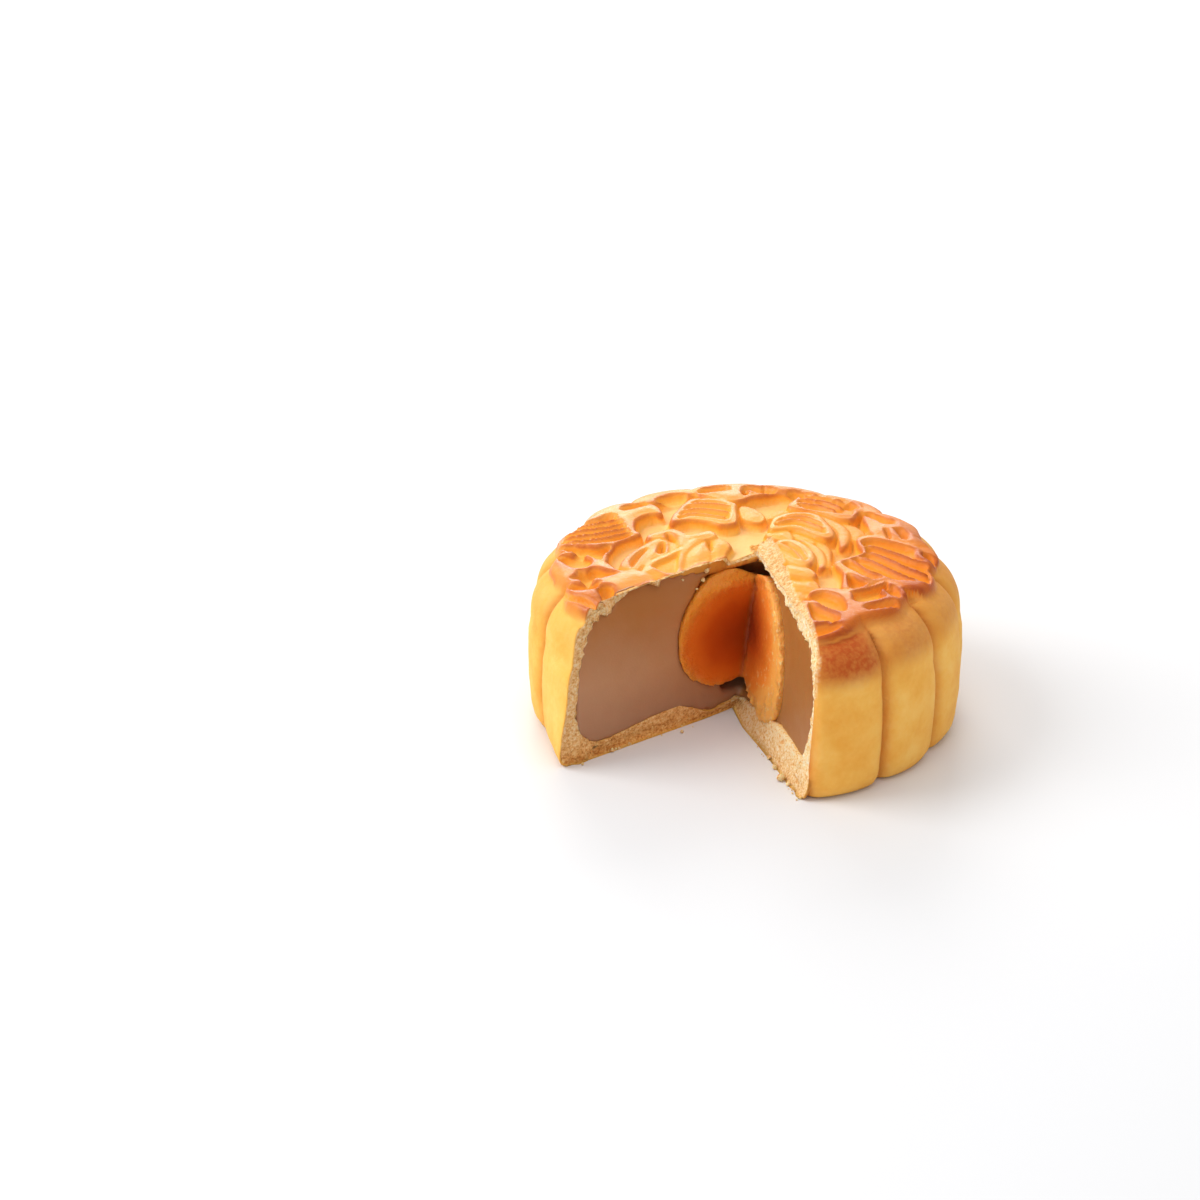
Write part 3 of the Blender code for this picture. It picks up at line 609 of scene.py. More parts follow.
def inner_outline(grow):
    """The filling's outline, grown by so many millimetres."""
    side = WALL_IN + grow
    line = [(0, FLOOR_IN - grow), (side - 3, FLOOR_IN - grow)]
    line += arc((side - 3, FLOOR_IN - grow + 3), 3, -90, 0, 6)[1:]
    line += arc((side - 8, ROOF_IN + grow - 8), 8, 0, 90, 12)
    return line + [(0, ROOF_IN + grow)]


def bend_inside(piece, last_turn, step):
    """Bends an inner skin round the corner of the cut and gives the dough its thickness at each cut."""
    ring, turn, z = turned_places(piece)
    turn = np.interp(turn, [0, last_turn - step, last_turn, last_turn + step, math.tau],
                     [0, TURN - EDGE_ROW, TURN, TURN + EDGE_ROW, math.tau])
    past = np.where(turn > TURN, (turn - TURN) / (math.tau - TURN), 0)
    from_right = np.where(turn > TURN, 1 - past, turn / TURN)
    from_left = np.where(turn > TURN, past, 1 - turn / TURN)
    by_right, by_left = (1 - smooth(share * 9) for share in (from_right, from_left))
    middle = 1 - by_left - by_right
    x, y = on_ring(ring, turn, z)
    r = np.hypot(x, y)
    floor = by_left * np.interp(r, *LEFT_FLOOR) + by_right * np.interp(r, *RIGHT_FLOOR) + middle * FLOOR_IN
    lifted = np.minimum(dome(r) + pattern(x, y)[0] - LEFT_SKIN, HIGHEST_ROOF)
    at_wall = np.where(turn > TURN, 1 - smooth(past * 3 - 1), 1 - smooth(from_left * 120 - 0.75))
    left_roof = ROOF_IN + (lifted - ROOF_IN) * at_wall
    roof = by_left * left_roof + by_right * np.interp(r, *RIGHT_ROOF) + middle * ROOF_IN
    height = np.clip((z - FLOOR_IN) / (ROOF_IN - FLOOR_IN), 0, 1)
    up = z + (floor - FLOOR_IN) * (1 - height) + (roof - ROOF_IN) * height
    side = by_left * np.interp(up, *LEFT_SIDE) + by_right * np.interp(up, *RIGHT_SIDE) + middle * WALL_IN
    scale = 1 + (side - WALL_IN) / WALL_IN * smooth((r - 15) / 19)
    set_places(piece, np.stack([x * scale, y * scale, up], 1))


lining = spun("crust_lining", partner_points(skin_outline, inner_outline(0)), LINING_STEPS)
bend_inside(lining, TURN, TURN / LINING_STEPS)
lining_count = len(lining.data.vertices)
print(f"lining of {len(lining.data.polygons)} faces")

# %% Bridge the skins
CRUMB_COLUMNS = 12
pick(skin, lining)
bpy.ops.object.join()
bpy.ops.object.mode_set(mode="EDIT")
bpy.ops.mesh.select_mode(type="EDGE")
bpy.ops.mesh.select_all(action="DESELECT")
bpy.ops.mesh.select_non_manifold(extend=False, use_wire=False, use_boundary=True, use_multi_face=False,
                                 use_non_contiguous=False, use_verts=False)
bpy.ops.mesh.bridge_edge_loops(number_cuts=CRUMB_COLUMNS - 1, interpolation="LINEAR")
bpy.ops.object.mode_set(mode="OBJECT")
face_outwards()
crust = named("crust_baked")
print(f"crust of {sum(len(f.vertices) - 2 for f in crust.data.polygons)} triangles")


# %% [markdown]
# A knife doesn't leave baked dough smooth: it crumbles. The cut faces are broken up by two sizes of noise,
# and their inner edge wanders, so that grains of dough lie against the filling.

# %% Crumble the cut faces


def wall_at(x, y, z):
    """Whether each spot is on the right wall, and the way that its wall faces."""
    cx, cy, left, right = corner(z)
    turn = way_round(x - cx, y - cy)
    is_right = (turn < TURN / 2) | (turn > (TURN + math.tau) / 2)
    facing = np.where(is_right, right - math.pi / 2, left + math.pi / 2)
    return is_right, np.cos(facing), np.sin(facing)


def nearest(spots, others):
    """Distance from each spot to the nearest of the others."""
    return np.array([np.sqrt(((others - s) ** 2).sum(1).min()) for s in spots])


p = places_of(crust)
number = np.arange(len(p))
rng = np.random.default_rng(7)
is_cut = number >= skin_count + lining_count
edges = np.empty(len(crust.data.edges) * 2, int)
crust.data.edges.foreach_get("vertices", edges)
edges = edges.reshape(-1, 2)
touches_cut = np.zeros(len(p), bool)
touches_cut[edges[is_cut[edges].any(1)].ravel()] = True
skin_rim = touches_cut & (number < skin_count)
lining_rim = touches_cut & ~is_cut & ~skin_rim
moving = is_cut | lining_rim
depth = np.zeros(len(p))
depth[moving] = nearest(p[moving], p[skin_rim])
to_lining = nearest(p[moving], p[lining_rim])
right, nx, ny = wall_at(*p[moving].T)
coarse, fine, finest = (grain(p[moving], size, seed) for size, seed in ((2.2, 5), (0.8, 6), (0.4, 7)))
roughness = 0.3 * coarse + 0.32 * fine + 0.16 * finest - 0.1
out = np.clip(depth[moving] / 0.5, 0, 1) * roughness
p[moving, 0] += out * nx
p[moving, 1] += out * ny
wander = 0.35 * grain(p[moving], 1.1, 8) + 0.2 * grain(p[moving], 0.5, 9)
wander *= np.clip(1 - to_lining / 1.2, 0, 1)
wander *= np.clip((depth[moving] + to_lining) / 2 - 0.1, 0.05, 1)
middle = np.array([0, 0, (FLOOR_IN + ROOF_IN) / 2])
towards = middle - p[moving]
towards /= np.linalg.norm(towards, axis=1)[:, None]
p[moving] += towards * wander[:, None]
foot = (is_cut | skin_rim) * smooth(1 - p[:, 2] / 4)
foot *= np.where(p[:, 2] < 1.2, 1, np.clip(0.4 + depth / 0.8, 0, 1))
foot[moving | skin_rim] *= 0.25 + 1.5 * np.maximum(grain(p[moving | skin_rim] * [1, 1, 0.3], 2.6, 12), -0.2)
foot += 0.4 * (skin_rim & (p[:, 2] < 0.3))
_, nx, ny = wall_at(*p.T)
p[:, 0] += foot * nx
p[:, 1] += foot * ny
p[:, 2] = np.clip(p[:, 2], 0, TOP)
set_places(crust, p)
print(f"{moving.sum()} points of the cut faces crumbled")

# %% [markdown]
# ## What the material needs to know
# The crust's colour follows its form: pale in the deep channels, orange in the hollows, pinkish brown on
# the glazed crests, browner still on the shoulders that the oven's heat reached first. These are stored as
# masks on the vertices, for the material to read.

# %% Masks
LOBE_BROWNING = [0.35, 0.3, 0.4, 0.5, 0.3, 0.4, 0.3, 0.25, 0.15, 0.1, 0.1, 0.4, 1.0, 0.62, 0.5, 0.42]


def mask(piece, name, values):
    """Stores one number for each vertex."""
    made = piece.data.attributes.new(name, "FLOAT", "POINT")
    made.data.foreach_set("value", np.asarray(values, np.float32))


def of_skin(values):
    """Values of the skin's vertices, with nothing for the rest of the crust."""
    return np.concatenate([values, np.zeros(len(p) - skin_count)])


def evened(values, rounds):
    """Each vertex's value mixed with its neighbours' again and again."""
    count = np.bincount(edges.ravel(), minlength=len(values)) + 1
    for _ in range(rounds):
        total = values + np.bincount(edges[:, 0], values[edges[:, 1]], len(values))
        values = (total + np.bincount(edges[:, 1], values[edges[:, 0]], len(values))) / count
    return values


angle = np.arctan2(p[:, 1], p[:, 0]) % math.tau
radius = np.hypot(p[:, 0], p[:, 1])
lobe = angle / math.tau * LOBES
across = np.abs(lobe - np.round(lobe)) * 2
strength = np.array(LOBE_BROWNING)[np.round(lobe).astype(int) % LOBES]
shoulder_brown = strength * smooth((p[:, 2] - 19.5) / 4.5) * (1 - 0.5 * across**3)
towards_front = 0.5 + 0.5 * np.cos(angle - math.radians(288))
rim_brown = (0.15 + 0.85 * towards_front) * np.clip((radius - 10) / 22, 0, 1)
whole_level, on_field = of_skin(level), of_skin(field)
crest = whole_level - evened(whole_level, 14)
print(f"crests up to {crest.max():.2f}, creases down to {crest.min():.2f}")
mask(crust, "level", np.maximum(whole_level, 0.8 * evened(whole_level, 14)))
mask(crust, "crest", crest * on_field)
mask(crust, "field", on_field)
mask(crust, "bake", np.clip(on_field * rim_brown + (1 - on_field) * shoulder_brown, 0, 1))
# Darker in the grooves between the lobes: some browning, with painted shade in the creases.
in_groove = (across > 0) * np.exp(-((1 - across) * LOBE_HALF / CREASE_WIDTH))
mask(crust, "groove", of_skin(in_groove[:skin_count]))
mask(crust, "inside", np.maximum(np.where(skin_rim, 0, np.clip(depth / 0.3, 0, 1)), of_skin(broken)))
# Toast and painted shade on the cut faces: darker towards the foot, where the dough is toasted and shade is
# painted too, and darker over the whole left cut face, which is turned from the light, and over the broken
# slope, as painted shade.
toast_and_shade = np.clip(0.75 - p[:, 2] / 9, 0, 1) * 0.6 + 0.5 * (~wall_at(*p.T)[0]) + 0.5 * of_skin(broken)
mask(crust, "toast_and_shade", np.clip(toast_and_shade, 0, 1))
crust.data.shade_smooth()

# %% [markdown]
# ## The knife
# The filling and the yolk are cut as the real ones were, by a wedge-shaped knife. It starts as a three-
# sided prism, is subdivided and gets a slight wave, because a real blade drags the soft paste along.

# %% Knife
KNIFE_REACH = 60
KNIFE_FOOT = -6
KNIFE_TOP = 36


def knife(name, back_left, back_right, wave, seed):
    """A wedge-shaped cutter. It goes so many millimetres further into the cake than the crust's two cuts."""
    pick()
    bpy.ops.mesh.primitive_cylinder_add(vertices=3, radius=1, depth=1)
    cutter = named(name)
    for v in cutter.data.vertices:
        which = round((math.atan2(v.co.x, v.co.y) % math.tau) / math.tau * 3) % 3
        v.co = Vector((which == 1, which == 2, KNIFE_TOP if v.co.z > 0 else KNIFE_FOOT)) * MM
    in_edit_mode((bpy.ops.mesh.subdivide, {"number_cuts": 44}))
    along_right, along_left, z = places_of(cutter).T
    cx, cy, left, right = corner(z)
    sides = [[-math.sin(LEFT_WALL), math.cos(LEFT_WALL)], [math.sin(RIGHT_WALL), -math.cos(RIGHT_WALL)]]
    deeper = np.linalg.solve(sides, [-back_left, -back_right])
    x = cx + deeper[0] + KNIFE_REACH * (along_right * np.cos(right) + along_left * np.cos(left))
    y = cy + deeper[1] + KNIFE_REACH * (along_right * np.sin(right) + along_left * np.sin(left))
    q = np.stack([x, y, z], 1)
    nx, ny = wall_at(x, y, z)[1:]
    push = wave * grain(q, 9, seed) + 0.4 * wave * grain(q, 3, seed + 1)
    set_places(cutter, q + np.stack([nx * push, ny * push, 0 * push], 1))
    face_outwards()
    return cutter


def shaped(piece, kind, **settings):
    """Gives a piece a modifier and applies it."""
    pick(piece)
    made = piece.modifiers.new(kind.lower(), kind)
    for name, value in settings.items():
        setattr(made, name, value)
    bpy.ops.object.modifier_apply(modifier=made.name)


def carve(piece, cutter):
    """Takes the cutter's form out of the piece."""
    shaped(piece, "BOOLEAN", operation="DIFFERENCE", solver="EXACT", object=cutter)


def knead(piece, voxel, smoothing):
    """Rebuilds a carved piece from small even faces and softens its edges."""
    shaped(piece, "REMESH", mode="VOXEL", voxel_size=voxel * MM)
    shaped(piece, "SMOOTH", iterations=smoothing)
    piece.data.shade_smooth()


# %% [markdown]
# ## The yolk
# A cured yolk is a ball squashed a little by the paste round it. Its cut shows a smooth dark heart and a
# paler, grainy outer layer. It has sunk a little where the two cuts meet.

# %% Yolk
YOLK_CENTRE = np.array([-1.2, -4.6, 14.9])
YOLK_HALF = np.array([12.9, 12.9, 11.0])
YOLK_FULLNESS = 2.4
YOLK_TILT = 0.25
YOLK_SAG = 1.7
YOLK_SLIT = 0.5


def yolk_ball(name, grow, steps):
    """The whole yolk, a rounded ball squashed in height and leaning to the front."""
    pick()
    bpy.ops.mesh.primitive_uv_sphere_add(segments=2 * steps, ring_count=steps, radius=1)
    ball = named(name)
    q = places_of(ball) * MM
    flat = np.hypot(q[:, 0], q[:, 1])
    full = (flat**YOLK_FULLNESS + np.abs(q[:, 2]) ** YOLK_FULLNESS) ** (1 / YOLK_FULLNESS)
    q = q / full[:, None] * (YOLK_HALF + grow)
    q[:, 2] += YOLK_TILT * q[:, 1]
    set_places(ball, q * (1 + 0.02 * grain(q, 7, 11)[:, None]) + YOLK_CENTRE)
    return ball


yolk = yolk_ball("yolk_cured", 0, 40)
yolk_knife = knife("yolk_knife", -0.25, -0.6, 0.25, 21)
carve(yolk, yolk_knife)
knead(yolk, 0.42, 2)
q = places_of(yolk)
heart = (q - YOLK_CENTRE) / YOLK_HALF
rind = smooth((np.linalg.norm(heart, axis=1) - 0.8) / 0.15)
on_right, nx, ny = wall_at(*q.T)
lumps = (0.45 * grain(q, 2.4, 13) + 0.3 * grain(q, 0.9, 14)) * rind * np.where(on_right, 1, 0.55)
cx, cy, left, right = corner(q[:, 2])
from_corner = np.hypot(q[:, 0] - cx, q[:, 1] - cy)
sag = YOLK_SAG * bell(from_corner / 4) * smooth((q[:, 2] - 18) / 7)
seam = bell(np.maximum(from_corner - 0.8, 0) / 0.6)
slit = YOLK_SLIT * seam
inwards = (LEFT_WALL + RIGHT_WALL) / 2 - math.pi
shift = [nx * lumps + math.cos(inwards) * slit, ny * lumps + math.sin(inwards) * slit, -sag]
set_places(yolk, q + np.stack(shift, 1))
yolk.data.shade_flat()
pick(yolk)
bpy.ops.object.shade_smooth_by_angle(angle=math.radians(38))
mask(yolk, "right", on_right)
# The crease mask marks where the two cut faces meet; the material paints shade there.
mask(yolk, "crease", seam)
print(f"yolk of {len(yolk.data.polygons)} faces")

# %% [markdown]
# ## The filling
# Lotus paste is cooked until it holds its shape, so it fills the crust without a gap and its cut is smooth.
# It is turned, cut by the knife and hollowed for the yolk. Near the corner it has shrunk from the yolk a
# little, above and below.

# %% Filling
FILLING_STEPS = 96
FILLING_CUT = 78
PASTE_GAP = 0.3
filling_line = inner_outline(0.45)
filling_line = spaced(filling_line[:2], [12])[:-1] + filling_line[1:-1] + spaced(filling_line[-2:], [24])[1:]
filling = spun("filling_paste", filling_line, FILLING_STEPS, math.tau)
face_outwards()
bend_inside(filling, FILLING_CUT / FILLING_STEPS * math.tau, math.tau / FILLING_STEPS)
socket = yolk_ball("yolk_socket", 0.05, 32)
set_places(socket, (places_of(socket) - YOLK_CENTRE) * [1, 1, 1.02] + YOLK_CENTRE + PASTE_GAP)
under_yolk = yolk_ball("under_yolk", 0, 16)
set_places(under_yolk, (places_of(under_yolk) - YOLK_CENTRE) * [0.36, 0.36, 0.14] + [0.2, 1.4, 5.1])
paste_knife = knife("paste_knife", PASTE_GAP, PASTE_GAP, 0.25, 31)
for cutter in (paste_knife, socket, under_yolk):
    carve(filling, cutter)
knead(filling, 0.55, 3)
q = places_of(filling)
high = q[:, 2] > ROOF_IN - 1
under_skin = dome(np.hypot(q[high, 0], q[high, 1])) + pattern(q[high, 0], q[high, 1])[0] - PASTE_GAP
print(f"{(q[high, 2] > under_skin).sum()} points of the filling kept under the skin")
q[high, 2] = np.minimum(q[high, 2], under_skin)
set_places(filling, q)
# The right cut face is marked so that the material can paint light on it.
mask(filling, "right", 0.8 * wall_at(*q.T)[0])
for cutter in (socket, under_yolk, paste_knife, yolk_knife):
    bpy.data.objects.remove(cutter, do_unlink=True)
print(f"filling of {len(filling.data.polygons)} faces")

# %% [markdown]
# ## Crumbs
# Cutting scatters grains of dough at the foot of the cut faces. Each starts as a small ball of its own size,
# is roughened so that no two are alike and set down; then all are joined into one piece. A few flecks stick
# to the cut paste.

# %% Crumbs
CRUMB_ROWS = [("right", 22, (12, 36)), ("left", 12, (8, 36))]
BIG_CRUMBS = [("right", 24.2, 0.9, 0.45), ("right", 28.4, 1.2, 0.7), ("right", 30.6, 0.7, 0.42),
              ("right", 20.5, 0.8, 0.35), ("left", 13.5, 2.2, 0.3), ("left", 27.5, 0.6, 0.4)]
FLECKS = [(11.4, 0.42, 26.9), (12.2, 0.36, 25.8), (10.8, 0.3, 27.4), (16.8, 0.24, 27.0), (13.5, 0.22, 24.9)]
places = list(BIG_CRUMBS)
for side, count, (near_end, far_end) in CRUMB_ROWS:
    for _ in range(count):
        size = 0.1 + 0.2 * rng.random() ** 2
        along = near_end + (far_end - near_end) * rng.random()
        places.append((side, along, 0.3 + 1.5 * rng.random() ** 3, size))
places = [(*place, 0) for place in places] + [("left", along, -0.3, size, up) for along, size, up in FLECKS]
crumbs = []
for i, (side, along, away, size, up) in enumerate(places):
    cx, cy, left, right = corner(up)
    wall, facing = (right, right - math.pi / 2) if side == "right" else (left, left + math.pi / 2)
    pick()
    bpy.ops.mesh.primitive_ico_sphere_add(subdivisions=2, radius=size * MM)
    crumb = bpy.context.object
    q = places_of(crumb) * (1 + 0.45 * grain(places_of(crumb) / size + i, 0.9, i)[:, None])
    q[:, 2] += up - q[:, 2].min()
    q[:, 0] += cx + along * math.cos(wall) + away * math.cos(facing)
    q[:, 1] += cy + along * math.sin(wall) + away * math.sin(facing)
    set_places(crumb, q)
    crumbs.append(crumb)
pick(*crumbs)
bpy.ops.object.join()
crumbs = named("crumbs")
crumbs.data.shade_smooth()
print(f"crumbs of {len(crumbs.data.polygons)} faces")

# %% [markdown]
# ## Finishes
# Every colour is written as the eye reads it and turned into the linear value that the renderer needs. Two
# effects are shared: the mottling of baked dough, and the grain of crumb. Each is a group that gives masks
# and a height.

# %% Material helpers


def colour(red, green, blue):
    """A colour as the eye reads it, 0 to 255, made linear."""
    parts = [c / 255 for c in (red, green, blue)]
    return (*[c / 12.92 if c <= 0.04045 else ((c + 0.055) / 1.055) ** 2.4 for c in parts], 1.0)


def fill(tree, socket, value):
    """Links a socket to another, or sets its value."""
    if isinstance(value, bpy.types.NodeSocket):
        tree.links.new(value, socket)
    else:
        socket.default_value = value


def add(tree, kind, inputs=None, **settings):
    """A node with its settings, links and values."""
    made = tree.nodes.new(kind)
    for name, value in settings.items():
        setattr(made, name, value)
    for name, value in (inputs or {}).items():
        fill(tree, made.inputs[name], value)
    return made


def ramp(tree, factor, stops):
    """A colour ramp through (position, red, green, blue) stops."""
    made = add(tree, "ShaderNodeValToRGB", {"Fac": factor})
    while len(made.color_ramp.elements) < len(stops):
        made.color_ramp.elements.new(0.5)
    for element, (position, *shade) in zip(made.color_ramp.elements, stops):
        element.position = position
        element.color = colour(*shade)
    return made.outputs["Color"]


def sums(tree, operation, a, b, clamp=False):
    """One step of arithmetic."""
    return add(tree, "ShaderNodeMath", {0: a, 1: b}, operation=operation, use_clamp=clamp).outputs[0]


def plus(tree, a, b, clamp=False):
    """Both together."""
    return sums(tree, "ADD", a, b, clamp)


def times(tree, a, b, clamp=False):
    """One as a share of the other."""
    return sums(tree, "MULTIPLY", a, b, clamp)


def less(tree, a, b, clamp=False):
    """What is left of a without b."""
    return sums(tree, "SUBTRACT", a, b, clamp)


def swing(tree, cloud, reach):
    """A cloud's values about nothing, not about a half, and as wide as the reach."""
    return times(tree, less(tree, cloud, 0.5), reach)


def stretched(tree, value, low, high, start=0.0, end=1.0):
    """A value that runs from start to end while the given one runs from low to high."""
    return add(tree, "ShaderNodeMapRange", {"Value": value, "From Min": low, "From Max": high,
                                            "To Min": start, "To Max": end}).outputs[0]


def blend_colours(tree, factor, a, b):
    """Colour a where the factor is 0 and b where it is 1."""
    return add(tree, "ShaderNodeMix", {0: factor, 6: a, 7: b}, data_type="RGBA").outputs[2]


def attribute(tree, name):
    """A mask stored on the vertices."""
    return add(tree, "ShaderNodeAttribute", attribute_name=name).outputs["Fac"]


def object_places(tree):
    """Places on the piece itself, in metres."""
    return add(tree, "ShaderNodeTexCoord").outputs["Object"]


def from_middle(tree, centre, half):
    """Distance from a centre, as a share of the half sizes of a rounded body, in millimetres."""
    placed = add(tree, "ShaderNodeMapping", {"Vector": object_places(tree), "Location": Vector(centre) * MM,
                                             "Scale": Vector(half) * MM}, vector_type="TEXTURE")
    return add(tree, "ShaderNodeVectorMath", {0: placed.outputs[0]}, operation="LENGTH").outputs["Value"]


def group(name, sizes, outputs):
    """An empty node group with named numbers going in and coming out."""
    tree = bpy.data.node_groups.new(name, "ShaderNodeTree")
    for title, value in sizes.items():
        tree.interface.new_socket(title, in_out="INPUT", socket_type="NodeSocketFloat").default_value = value
    for title in outputs:
        tree.interface.new_socket(title, in_out="OUTPUT", socket_type="NodeSocketFloat")
    return tree, add(tree, "NodeGroupInput").outputs, add(tree, "NodeGroupOutput").inputs


def use(tree, shared, **values):
    """A shared group placed in a material with its own values. Returns what it gives."""
    made = add(tree, "ShaderNodeGroup", {title.replace("_", " "): v for title, v in values.items()},
               node_tree=shared)
    return list(made.outputs)


def finish(name, rough, **constants):
    """A new material: its node tree and its Principled shader."""
    made = bpy.data.materials.new(name)
    made.use_nodes = True
    shader = made.node_tree.nodes["Principled BSDF"]
    shader.inputs["Roughness"].default_value = rough
    for title, value in constants.items():
        shader.inputs[title.replace("_", " ")].default_value = value
    return made, made.node_tree, shader


def bump(tree, shader, height, strength, deepest=1.0):
    """Raises the surface by a height that stands for so many millimetres."""
    made = add(tree, "ShaderNodeBump", {"Height": height, "Strength": strength, "Distance": deepest * MM})
    tree.links.new(made.outputs["Normal"], shader.inputs["Normal"])


# %% Mottling of baked dough
mottling, given, result = group("mottling", {"Broad size": 6.0, "Fine size": 0.8},
                                ["Broad", "Fine", "Specks"])
spot = object_places(mottling)
for title, detail in (("Broad", 3.0), ("Fine", 4.0)):
    scale = sums(mottling, "DIVIDE", 1 / MM, given[f"{title} size"])
    cloud = {"Vector": spot, "Scale": scale, "Detail": detail, "Roughness": 0.6}
    fill(mottling, result[title], add(mottling, "ShaderNodeTexNoise", cloud).outputs["Fac"])
speck_scale = sums(mottling, "DIVIDE", 1.4 / MM, given["Fine size"])
specks = add(mottling, "ShaderNodeTexVoronoi", {"Vector": spot, "Scale": speck_scale})
fill(mottling, result["Specks"], stretched(mottling, specks.outputs["Distance"], 0.0, 0.22, 1.0, 0.0))

# %% Grain of crumb
crumb_grain, given, result = group("crumb_grain", {"Size": 0.5, "Depth": 0.2}, ["Grain", "Height"])
spot = object_places(crumb_grain)
scale = sums(crumb_grain, "DIVIDE", 1 / MM, given["Size"])
lumps = add(crumb_grain, "ShaderNodeTexVoronoi", {"Vector": spot, "Scale": times(crumb_grain, scale, 0.45)})
cells = add(crumb_grain, "ShaderNodeTexVoronoi", {"Vector": spot, "Scale": scale})
soft = {"Vector": spot, "Scale": scale, "Detail": 5.0, "Roughness": 0.7}
mixed = times(crumb_grain, less(crumb_grain, 1.0, lumps.outputs["Distance"]), 0.25)
mixed = plus(crumb_grain, mixed, times(crumb_grain, cells.outputs["Distance"], -0.3))
mixed = plus(crumb_grain, mixed, add(crumb_grain, "ShaderNodeTexNoise", soft).outputs["Fac"])
grains = stretched(crumb_grain, mixed, 0.25, 0.8)
fill(crumb_grain, result["Grain"], grains)
fill(crumb_grain, result["Height"], times(crumb_grain, grains, given["Depth"]))
print(f"two shared effects, of {len(mottling.nodes)} and {len(crumb_grain.nodes)} nodes")

# %% [markdown]
# The crust is one material from its glazed crests to its pale crumb, because the real change is a gradual
# one. The top's colour is read from the height of the pattern, the side is golden with darker grooves, and
# the browning is laid over both. Where the crust is cut, the colour turns to that of the dough inside.

# %% Colours of the baked crust
baked, tree, shader = finish("baked_crust", 0.5, Subsurface_Weight=0.06, Subsurface_Scale=0.001,
                             Coat_Roughness=0.18, Specular_IOR_Level=0.22)
broad, fine, specks = use(tree, mottling, Broad_size=7.0, Fine_size=0.9)
grains, raised = use(tree, crumb_grain, Size=0.42, Depth=0.2)
level_in, crest_in, field_in, bake_in, inside_in, toast_and_shade_in, groove_in = (
    attribute(tree, name) for name in ("level", "crest", "field", "bake", "inside", "toast_and_shade", "groove"))
cloudy, grainy = swing(tree, broad, 0.35), swing(tree, fine, 0.25)
heat = plus(tree, plus(tree, level_in, cloudy), grainy)
light_top = ramp(tree, heat, [(0.08, 248, 194, 120), (0.3, 248, 182, 78), (0.55, 244, 162, 40),
                              (1.0, 240, 162, 66)])
dark_top = ramp(tree, heat, [(0.08, 242, 180, 92), (0.3, 236, 150, 34), (0.55, 226, 120, 10),
                             (1.0, 196, 94, 6)])
top_shade = blend_colours(tree, plus(tree, bake_in, cloudy, True), light_top, dark_top)
ridge = times(tree, stretched(tree, crest_in, 0.03, 0.18), plus(tree, fine, 0.35), True)
well_baked = stretched(tree, bake_in, 0.45, 0.9)
crest_shade = blend_colours(tree, well_baked, colour(196, 98, 30), colour(164, 64, 8))
top_shade = blend_colours(tree, times(tree, ridge, 0.9), top_shade, crest_shade)
side_shade = ramp(tree, plus(tree, broad, grainy), [(0.25, 240, 168, 64), (0.5, 248, 186, 84),
                                                    (0.75, 252, 200, 106)])
# Painted shade with some browning: the side is darker in the grooves.
side_shade = blend_colours(tree, times(tree, groove_in, 0.85), side_shade, colour(196, 106, 32))
skin_shade = blend_colours(tree, field_in, side_shade, top_shade)
browned = times(tree, bake_in, plus(tree, times(tree, fine, 0.7), 0.6), True)
side_brown = times(tree, browned, less(tree, 1.0, field_in))
skin_shade = blend_colours(tree, side_brown, skin_shade, colour(184, 80, 18))
# Paler on the lumps of the grain and darker between them: painted highlight and painted shade over the
# dough's own grain.
dough = ramp(tree, grains, [(0.0, 236, 172, 96), (0.35, 255, 222, 160), (0.75, 255, 242, 214)])
# The toasted dough's colours carry painted shade, for the foot, the left cut face and the broken slope.
toasted_and_shaded = ramp(tree, grains, [(0.0, 180, 100, 36), (0.4, 230, 154, 70), (0.85, 255, 208, 128)])
crumb_shade = blend_colours(tree, toast_and_shade_in, dough, toasted_and_shaded)
fill(tree, shader.inputs["Base Color"], blend_colours(tree, inside_in, skin_shade, crumb_shade))

# %% [markdown]
# The egg glaze is brushed on last. It lies on the crests in patches and hardly reaches the channels, so the
# coat follows the height of the pattern, and is thinnest where the oven has baked it into the crust.

# %% Glaze and relief of the baked crust
glaze = times(tree, sums(tree, "POWER", level_in, 1.5), field_in)
coat = times(tree, glaze, less(tree, 1.0, inside_in))
patchy = stretched(tree, fine, 0.42, 0.66, 0.35, 1.0)
coated = times(tree, coat, less(tree, 0.42, times(tree, well_baked, 0.34)))
fill(tree, shader.inputs["Coat Weight"], times(tree, coated, patchy))
matt = less(tree, 0.64, times(tree, coat, 0.2))
fill(tree, shader.inputs["Roughness"], plus(tree, matt, times(tree, inside_in, 0.25), True))
skin_bump = plus(tree, times(tree, fine, 0.16), times(tree, specks, -0.03))
both = add(tree, "ShaderNodeMix", {0: inside_in, 2: skin_bump, 3: raised})
bump(tree, shader, both.outputs[0], 0.9)

# %% [markdown]
# Lotus paste is a smooth, slightly translucent brown, a little greyer towards its foot, partly as its own
# tone and partly as painted shade. The right cut face is turned to the light, and that light is painted in as
# a more golden colour.

# %% Lotus paste
paste, tree, shader = finish("lotus_paste", 0.4, Subsurface_Weight=0.25, Subsurface_Scale=0.003,
                             Specular_IOR_Level=0.4)
broad, fine, specks = use(tree, mottling, Broad_size=11.0, Fine_size=0.6)
where = add(tree, "ShaderNodeSeparateXYZ", {"Vector": object_places(tree)})
upward = plus(tree, stretched(tree, where.outputs["Z"], 2 * MM, 26 * MM), swing(tree, broad, 0.5))
# Darker towards the foot: the paste's own tone with painted shade.
shade = ramp(tree, upward, [(0.0, 162, 112, 80), (0.5, 184, 132, 94), (1.0, 172, 108, 54)])
# Painted light: the right cut face, turned to the light, is coloured more golden.
shade = blend_colours(tree, attribute(tree, "right"), shade, colour(158, 98, 40))
fill(tree, shader.inputs["Base Color"], shade)
bump(tree, shader, fine, 0.25, 0.15)
